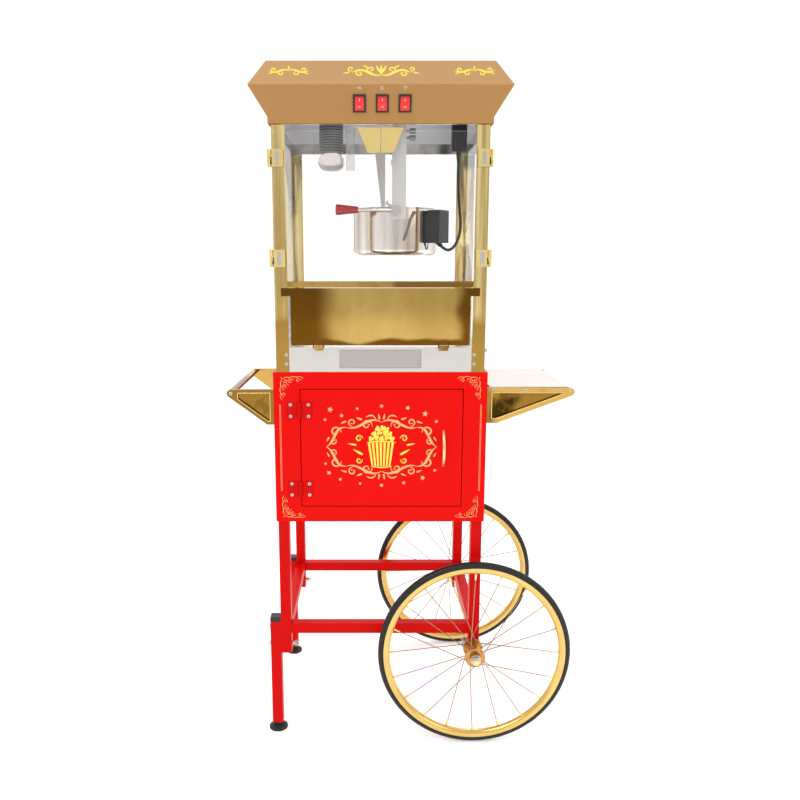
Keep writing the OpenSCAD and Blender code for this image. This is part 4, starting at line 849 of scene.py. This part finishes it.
def add_disc(shape: bmesh.types.BMesh, centre: Point2, radius: float, lift: float = 0.0) -> None:
    """Adds a flat disc to a print."""
    ring = bmesh.ops.create_circle(shape, cap_ends=True, segments=20, radius=radius)["verts"]
    bmesh.ops.translate(shape, vec=(*centre, lift), verts=ring)


@dataclass
class CabinetOrnament(Detail):
    """The printed scrolls and motif on the cabinet's front."""

    corner_span: float = 0.052
    corner_inset: Point2 = (0.0165, 0.011)
    line_gap: float = 0.064
    line_pitch: float = 0.0024
    line_w: float = 0.0007
    motif_shift: float = 0.003
    motif_height: float = 0.7225
    star_share: float = 1.2

    @staticmethod
    def corner() -> list[Stroke]:
        """Returns one corner's scrolls, growing along u and v from the corner."""
        half = [
            sweep([(0.1, 0.1), (0.2, -0.06), (0.46, 0.0), (0.5, 0.16)], 0.06),
            curl((0.4, 0.17), 0.1, 0, 420, 0.05),
            sweep([(0.34, 0.03), (0.56, -0.06), (0.78, -0.02), (0.84, 0.12)], 0.055),
            curl((0.76, 0.13), 0.08, 0, 420, 0.045),
            sweep([(0.7, 0.01), (0.84, -0.05), (0.98, 0.0), (1.02, 0.08)], 0.04),
            drop((0.56, 0.11), 60, 0.11, 0.05), drop((0.9, 0.11), 50, 0.09, 0.04),
            drop((0.25, 0.15), 120, 0.1, 0.045),
        ]
        return half + [stroke.swapped() for stroke in half] + [
            curl((0.2, 0.2), 0.09, 225, 400, 0.05), drop((0.33, 0.33), 45, 0.16, 0.06),
            drop((0.05, 0.05), 45, 0.12, 0.06)]

    @staticmethod
    def cartouche() -> list[Stroke]:
        """Returns a quarter of the motif's scroll frame, in metres about its middle."""
        return [
            sweep([(0.0, 0.058), (0.03, 0.078), (0.05, 0.036), (0.08, 0.046)], 0.0062),
            curl((0.034, 0.052), 0.013, 200, -400, 0.004),
            curl((0.068, 0.058), 0.010, 260, 420, 0.0036),
            sweep([(0.08, 0.046), (0.112, 0.05), (0.104, 0.012), (0.128, 0.0)], 0.0062),
            curl((0.106, 0.036), 0.013, 190, -420, 0.0042),
            curl((0.112, 0.013), 0.0085, 120, 400, 0.0034),
            sweep([(0.012, 0.062), (0.018, 0.08), (0.03, 0.074), (0.036, 0.07)], 0.0036),
            drop((0.052, 0.067), 20, 0.014, 0.005), drop((0.088, 0.058), -20, 0.014, 0.005),
            drop((0.124, 0.018), -60, 0.012, 0.0045), drop((0.006, 0.072), 80, 0.014, 0.005),
        ]

    def build(self) -> None:
        """Prints the corners, the motif and the side's double line."""
        printer = Printer(self.maker)
        low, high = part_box("cabinet_shell")
        door_low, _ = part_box("cart_door")
        corner = [stroke.moved((self.corner_span, self.corner_span)).thinned(0.52) for stroke in self.corner()]
        strokes = []
        middle = Vector(((low.x + high.x) / 2, low.y, (low.z + high.z) / 2))
        half_w = (high.x - low.x) / 2 - self.corner_inset[0]
        half_h = (high.z - low.z) / 2 - self.corner_inset[1]
        for side in (-1, 1):
            for top in (-1, 1):
                strokes += [s.moved((-side, -top), (side * half_w, top * half_h)) for s in corner]
        plane = plane_at(middle, Vector((1, 0, 0)), Vector((0, 0, 1)))
        printer.strokes("cabinet_corner_scrolls", strokes, plane, CORNER_PRINT, "cart")
        lines = bmesh.new()
        top = half_h - self.line_gap
        for start in (-half_w - 0.0035, half_w + 0.0015):
            for x in (start, start + self.line_pitch):
                add_block(lines, (x, -top, -0.0001), (x + self.line_w, top, 0.0002), plane)
        self.maker.piece("cabinet_side_lines", lines, CORNER_PRINT, "cart")
        centre = Vector((middle.x + self.motif_shift, door_low.y, self.motif_height))
        face = plane_at(centre, Vector((1, 0, 0)), Vector((0, 0, 1)))
        ring = [s.moved((a, b)) for s in self.cartouche() for a in (-1, 1) for b in (-1, 1)]
        printer.strokes("door_scroll_frame", ring, face, CORNER_PRINT, "cabinet_door")
        self.tub(printer, face)
        stars = bmesh.new()
        for u, v, size, turn in ((-0.118, 0.088, 0.0062, 18), (-0.092, 0.074, 0.0046, 40), (-0.13, 0.064, 0.004, 5),
                                 (0.0, 0.096, 0.0046, 18), (-0.056, 0.09, 0.0036, 30), (0.06, 0.092, 0.005, 12),
                                 (0.1, 0.078, 0.0062, 30), (0.126, 0.06, 0.004, 0), (-0.122, -0.062, 0.0052, 10),
                                 (-0.096, -0.078, 0.0042, 30), (-0.13, -0.04, 0.0034, 44), (0.0, -0.092, 0.0046, 18),
                                 (-0.05, -0.088, 0.0036, 0), (0.052, -0.086, 0.0042, 24), (0.096, -0.074, 0.0056, 8),
                                 (0.124, -0.056, 0.0038, 40)):
            add_star(stars, (u, v), size * self.star_share, turn)
        printer.flat("door_stars", stars, face, CORNER_PRINT, "cabinet_door")

    @staticmethod
    def tub(printer: Printer, face: Matrix) -> None:
        """Prints a striped tub heaped with popped corn on the plane of the door."""
        tub = bmesh.new()
        for index in range(7):
            bar = add_block(tub, (-0.5 + index / 7, 0.0, 0.0), (-0.5 + (index + 0.62) / 7, 1.0, 0.0002))
            for vert in bar:
                spread = 0.046 + 0.018 * vert.co.y
                vert.co = Vector((vert.co.x * spread, -0.046 + vert.co.y * 0.056, vert.co.z))
            bmesh.ops.transform(tub, matrix=face, verts=bar)
        printer.maker.piece("door_tub_stripes", tub, YELLOW_PRINT, "cabinet_door")
        hoops = [
            sweep([(-0.034, 0.01), (-0.012, 0.014), (0.012, 0.014), (0.034, 0.01)], 0.0046),
            sweep([(-0.025, -0.046), (-0.01, -0.05), (0.01, -0.05), (0.025, -0.046)], 0.0036),
            drop((-0.055, -0.012), 150, 0.026, 0.0062), drop((0.055, -0.012), 30, 0.026, 0.0062),
            drop((-0.068, 0.006), 170, 0.02, 0.005), drop((0.068, 0.006), 10, 0.02, 0.005),
            curl((-0.052, 0.02), 0.009, 0, 420, 0.0034), curl((0.052, 0.02), 0.009, 180, -420, 0.0034),
            curl((-0.052, -0.032), 0.008, 20, -400, 0.0032), curl((0.052, -0.032), 0.008, 160, 400, 0.0032),
        ]
        printer.strokes("door_tub_hoops", hoops, face, YELLOW_PRINT, "cabinet_door")
        puffs = bmesh.new()
        spots = ((-0.024, 0.019), (-0.012, 0.022), (0.0, 0.02), (0.012, 0.022), (0.024, 0.019), (-0.017, 0.031),
                 (-0.005, 0.034), (0.008, 0.033), (0.019, 0.03), (-0.009, 0.043), (0.003, 0.045), (0.012, 0.041))
        for index, (u, v) in enumerate(spots):
            for lobe in range(3):
                angle = math.radians(lobe * 120 + index * 37)
                add_disc(puffs, (u + 0.0032 * math.cos(angle), v + 0.0032 * math.sin(angle)), 0.0036,
                         0.00006 * (index % 3) + 0.00002 * lobe)
        printer.flat("door_popped_corn", puffs, face, YELLOW_PRINT, "cabinet_door")


@dataclass
class CanopyOrnament(Detail):
    """The printed scrolls on the canopy's upper slope, and the marks over its switches."""

    upper_h: float = 0.055
    top_in: float = 0.035
    lower_h: float = 0.059
    lower_run: float = 0.031
    scroll_rise: float = 0.52
    mark_drop: float = 0.0075

    @staticmethod
    def side_scroll() -> list[Stroke]:
        """Returns the small scroll pair of one side, about 84 mm wide."""
        half = [
            sweep([(0.0, 0.002), (0.012, 0.016), (0.024, -0.012), (0.042, 0.004)], 0.0052),
            curl((0.015, -0.003), 0.0078, 110, -380, 0.0036),
            curl((0.031, 0.006), 0.0066, 250, 400, 0.0034),
            drop((0.038, -0.004), -30, 0.01, 0.004),
        ]
        return half + [stroke.moved((-1, 1)) for stroke in half] + [drop((0.0, 0.012), 90, 0.012, 0.0046)]

    @staticmethod
    def centre_scroll() -> list[Stroke]:
        """Returns the larger centre ornament, about 150 mm wide."""
        half = [
            sweep([(0.0, -0.008), (0.022, -0.018), (0.034, 0.02), (0.062, -0.002)], 0.0068),
            curl((0.022, 0.006), 0.0095, 260, 400, 0.0042),
            curl((0.046, -0.004), 0.0088, 90, -400, 0.004),
            curl((0.064, 0.008), 0.007, 250, 380, 0.0036),
            drop((0.074, -0.003), -16, 0.014, 0.0048), drop((0.034, 0.015), 30, 0.012, 0.0046),
            drop((0.007, 0.009), 66, 0.02, 0.0066),
        ]
        return half + [stroke.moved((-1, 1)) for stroke in half] + [drop((0.0, 0.007), 90, 0.026, 0.0075)]

    def build(self) -> None:
        """Prints the slope's scrolls and the three marks."""
        printer = Printer(self.maker)
        low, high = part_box("canopy")
        ridge = Vector(((low.x + high.x) / 2, low.y, high.z - self.upper_h))
        slope = Vector((0, self.top_in, self.upper_h))
        across = Vector((1, 0, 0))
        side, centre = self.side_scroll(), self.centre_scroll()
        strokes = [s.moved((1, 1), (shift, 0.0)) for scroll, shift in ((side, -0.194), (side, 0.197), (centre, 0.001))
                   for s in scroll]
        middle = plane_at(ridge + slope * self.scroll_rise, across, slope)
        printer.strokes("canopy_scrolls", strokes, middle, YELLOW_PRINT, "cart")
        lean = Vector((0, -self.lower_run, self.lower_h))
        for index, node in enumerate(ROCKERS):
            box_low, box_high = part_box(node)
            spot = ridge - lean.normalized() * self.mark_drop
            spot.x = (box_low.x + box_high.x) / 2
            printer.strokes(f"switch_mark_{index + 1}", self.mark(index), plane_at(spot, across, lean), WHITE_PRINT,
                            "cart")

    @staticmethod
    def mark(index: int) -> list[Stroke]:
        """Returns the small sign over one switch: warmth, turning or light."""
        if index == 0:
            return [sweep([(x, -0.003), (x + 0.002, -0.001), (x - 0.002, 0.001), (x, 0.0035)], 0.001)
                    for x in (-0.003, 0.0, 0.003)]
        if index == 1:
            return [curl((0.0, 0.0), 0.0032, 30, 300, 0.001, 1.0), drop((0.0, 0.0), 90, 0.002, 0.0012)]
        return [curl((0.0, 0.0008), 0.0022, -60, 300, 0.0009, 1.0), sweep(
            [(-0.001, -0.0022), (-0.0004, -0.0024), (0.0004, -0.0024), (0.001, -0.0022)], 0.0012)] + [
            drop((0.0042 * math.cos(a), 0.0008 + 0.0042 * math.sin(a)), math.degrees(a), 0.0014, 0.0008)
            for a in (0.2, 1.2, 1.9, 2.9)]


@dataclass
class Switches(Detail):
    """The on and off marks on the rockers."""

    tilt: float = 27.72
    pivot: Point2 = (-0.2244, 1.4733)

    def build(self) -> None:
        """Lays a bar and a ring on each rocker."""
        lean = Matrix.Rotation(math.radians(self.tilt), 4, "X")
        for index, node in enumerate(ROCKERS):
            low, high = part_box(node)
            shape = bmesh.new()
            place = Matrix.Translation(Vector(((low.x + high.x) / 2, *self.pivot))) @ lean
            add_block(shape, (-0.0005, -0.00105, 0.0052), (0.0005, -0.0004, 0.0098), place)
            ring = bmesh.ops.create_circle(shape, cap_ends=False, segments=24, radius=0.0021)["verts"]
            edges = [edge for edge in shape.edges if edge.verts[0] in ring]
            wide = bmesh.ops.extrude_edge_only(shape, edges=edges)["geom"]
            outer = [item for item in wide if isinstance(item, bmesh.types.BMVert)]
            bmesh.ops.scale(shape, vec=(1.4, 1.4, 1), verts=outer)
            bmesh.ops.transform(shape, verts=ring + outer, matrix=place @ Matrix.Translation((0, -0.00275, -0.0078))
                                @ Matrix.Rotation(math.radians(94.9), 4, "X"))
            self.maker.piece(f"switch_print_{index + 1}", shape, WHITE_PRINT, f"switch_{index + 1}")
        log.info("marked the rockers")


@dataclass
class GlassClips(Detail):
    """The silver insert on each gold clip of the glass doors, and a dark strip of painted shade for its slot."""

    width: float = 0.0085
    height: float = 0.029
    corner: float = 0.0032
    plate_shift: float = 0.004
    slot_shift: float = 0.0125
    slot_half: float = 0.0013
    largest: float = 0.045

    def build(self) -> None:
        """Adds an insert, and a dark strip of painted shade for the slot, to the front of every clip."""
        for side, sign in (("left", 1), ("right", -1)):
            plates, slots = bmesh.new(), bmesh.new()
            for island in self.maker.islands(f"{side}_door_fittings"):
                low, high = extent(island)
                if max(high.z - low.z, high.x - low.x) > self.largest:
                    continue
                middle = (low + high) / 2
                x = middle.x + sign * self.plate_shift
                slot_x = x - sign * self.slot_shift
                add_block(plates, (x - self.width / 2, low.y - 0.0007, middle.z - self.height / 2),
                          (x + self.width / 2, low.y + 0.0004, middle.z + self.height / 2))
                add_block(slots, (slot_x - self.slot_half, low.y - 0.0003, middle.z - 0.013),
                          (slot_x + self.slot_half, low.y + 0.0003, middle.z + 0.002))
            bmesh.ops.bevel(plates, geom=[e for e in plates.edges if abs((e.verts[0].co - e.verts[1].co).y) > 1e-4],
                            offset=self.corner, segments=4, profile=0.5, affect="EDGES", material=-1)
            self.maker.piece(f"{side}_clip_inserts", plates, ZINC, f"{side}_door", 30.0, 0.0002)
            self.maker.piece(f"{side}_clip_slot_shadows", slots, RECESS_DARK, f"{side}_door")
        log.info("dressed the glass doors' clips")


@dataclass
class Wheels(Detail):
    """The small brass nipples where the spokes meet the rims."""

    nipple: float = 0.0026
    tip_reach: float = 0.004
    nipple_from: float = 0.019

    def build(self) -> None:
        """Adds a nipple at the outer end of each spoke."""
        for side in ("front", "rear"):
            low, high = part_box(f"{side}_rim")
            hub = Vector(((low.x + high.x) / 2, 0, (low.z + high.z) / 2))
            shape = bmesh.new()
            for island in self.maker.islands(f"{side}_spokes"):
                reach = [Vector((p.x - hub.x, 0, p.z - hub.z)).length for p in island]
                far, near = island[reach.index(max(reach))], island[reach.index(min(reach))]
                run = (far - near).normalized()
                tip = [p for p in island if (p - far).length < self.tip_reach]
                outer = sum(tip, Vector()) / len(tip)
                add_cone(shape, outer - run * self.nipple_from, outer - run * self.tip_reach, self.nipple * 0.6,
                         self.nipple, 10)
            self.maker.piece(f"{side}_spoke_nipples", shape, PLATE_GOLD, f"{side}_wheel")
        log.info("added spoke nipples")


@dataclass
class ScrewRecessShadows(Detail):
    """The cross recess in each round screw head, drawn as a thin dark cross of painted shade."""

    longest: float = 0.03
    widest: float = 0.012
    head_depth: float = 0.0022
    arm_share: float = 0.52
    arm_half: float = 0.00045

    def build(self) -> None:
        """Marks the head of each screw in the two screw nodes with a dark cross of painted shade."""
        for node, body in (("hinge_door_screws", "cabinet_door"), ("body_screws", "cart")):
            shape = bmesh.new()
            for island in self.maker.islands(node):
                low, high = extent(island)
                size, centre = high - low, (low + high) / 2
                axis = max(range(3), key=lambda i: size[i])
                others = [i for i in range(3) if i != axis]
                if size[axis] > self.longest or max(size[i] for i in others) > self.widest:
                    continue
                along = Vector([float(i == axis) for i in range(3)])
                spread = [max((p - centre - (p - centre)[axis] * along).length
                              for p in island if abs(p[axis] - end) < self.head_depth)
                          for end in (low[axis], high[axis])]
                head = low[axis] if spread[0] > spread[1] else high[axis]
                sign = -1 if head == low[axis] else 1
                arm = max(spread) * self.arm_share
                for turn in (0, 1):
                    half = [self.arm_half] * 3
                    half[others[turn]] = arm
                    half[axis] = 0.00025
                    spot = centre.copy()
                    spot[axis] = head - sign * 0.0001
                    add_block(shape, [spot[i] - half[i] for i in range(3)], [spot[i] + half[i] for i in range(3)])
            self.maker.piece(f"{node}_recess_shadows", shape, RECESS_DARK, body)
        log.info("marked the screw heads")


@dataclass
class KettleDetail(Detail):
    """The pot's rolled rim and the bent wire on its side."""

    bead: float = 0.0011
    wire_radius: float = 0.0012
    wire_gap: float = 0.0026

    def build(self) -> None:
        """Rolls the rim and bends the wire."""
        low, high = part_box("kettle_pot")
        centre = (low + high) / 2
        radius = (high.x - low.x) / 2
        rim = bmesh.new()
        bead = bmesh.ops.create_circle(rim, cap_ends=False, segments=10, radius=self.bead)["verts"]
        bmesh.ops.rotate(rim, matrix=Matrix.Rotation(math.radians(90), 3, "X"), verts=bead)
        bmesh.ops.translate(rim, vec=(centre.x + radius - 0.0002, centre.y, high.z - self.bead), verts=bead)
        bmesh.ops.spin(rim, geom=list(rim.verts) + list(rim.edges), cent=(centre.x, centre.y, 0), axis=(0, 0, 1),
                       angle=math.tau, steps=96, use_merge=True)
        bmesh.ops.remove_doubles(rim, verts=rim.verts, dist=1e-5)
        bmesh.ops.recalc_face_normals(rim, faces=rim.faces)
        self.maker.piece("kettle_rolled_rim", rim, STEEL_POLISHED, "kettle")
        self.wire(centre, radius)
        log.info("rolled the kettle's rim")

    def wire(self, centre: Vector, radius: float) -> None:
        """Bends the lid's keeper wire down the front right of a pot of this middle and radius."""
        bends = ((0.046, 0.046), (0.045, 0.041), (0.036, 0.028), (0.030, 0.006), (0.022, -0.016), (0.019, -0.021),
                 (0.0175, -0.018), (0.021, -0.008), (0.029, 0.010), (0.0335, 0.030), (0.040, 0.040), (0.041, 0.046))
        points = [(centre.x + x, centre.y - math.sqrt(radius * radius - x * x) - self.wire_gap, centre.z + z, 1)
                  for x, z in bends]
        data = swept("kettle_wire", [points], self.wire_radius, 3, kind="NURBS")
        self.maker.swept_piece("kettle_keeper_wire", data, POT_WIRE, "kettle", 60.0)


@dataclass
class BracketHighlightBeads(Detail):
    """A rolled line round each recess of the side brackets; its pale gold is a painted highlight along the edge."""

    radius: float = 0.0009
    rim_depth: float = 0.009
    reach: float = 0.0004

    def build(self) -> None:
        """Lays a bead along the inner edge of every rim."""
        shape, beads = self.maker.merged("side_brackets"), bmesh.new()
        low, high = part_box("side_brackets")
        for edge in shape.edges:
            flat = [face for face in edge.link_faces if abs(face.normal.y) > 0.9]
            wall = [face for face in edge.link_faces if abs(face.normal.y) < 0.3]
            if len(edge.link_faces) != 2 or len(flat) != 1 or len(wall) != 1:
                continue
            middle = (edge.verts[0].co + edge.verts[1].co) / 2
            if min(abs(middle.y - low.y), abs(middle.y - high.y)) > self.reach:
                continue
            heights = [vert.co.y for vert in wall[0].verts]
            if max(heights) - min(heights) > self.rim_depth:
                continue
            add_cone(beads, edge.verts[0].co, edge.verts[1].co, self.radius, self.radius, 8)
        shape.free()
        self.maker.piece("bracket_highlight_beads", beads, PLATE_GOLD, "cart", 60.0)
        log.info("beaded the brackets")


@dataclass
class LampLouvreShadows(Detail):
    """The dark louvre lines round the lamp's housing: painted shade between the louvres."""

    radius: float = 0.0273
    pitch: float = 0.0056
    band: float = 0.0013
    count: int = 11
    rise: float = 0.045

    def build(self) -> None:
        """Lays thin dark bands of painted shade round the housing."""
        low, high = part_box("lamp_bulb")
        shape = bmesh.new()
        for index in range(self.count):
            band = bmesh.ops.create_cone(shape, cap_ends=True, segments=40, radius1=self.radius,
                                         radius2=self.radius, depth=self.band)["verts"]
            bmesh.ops.translate(shape, verts=band, vec=((low.x + high.x) / 2, (low.y + high.y) / 2,
                                                        low.z + self.rise + index * self.pitch))
        self.maker.piece("lamp_louvre_shadow_lines", shape, RECESS_DARK, "cart", 30.0)
        log.info("ribbed the lamp's housing")


def main() -> None:
    """Builds the cart's finishes and details in order."""
    logging.basicConfig(level=logging.INFO, format="%(message)s")
    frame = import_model()
    maker = Maker(frame, Workshop())
    studio = Studio()
    studio.build_camera()
    KettleLead(maker).build()
    studio.build_floor()
    studio.build_light()
    for detail in (CadSkins, CabinetOrnament, CanopyOrnament, Switches, GlassClips, Wheels, ScrewRecessShadows,
                   KettleDetail, BracketHighlightBeads, LampLouvreShadows):
        detail(maker).build()
    bpy.context.view_layer.update()


if __name__ == "__main__":
    main()
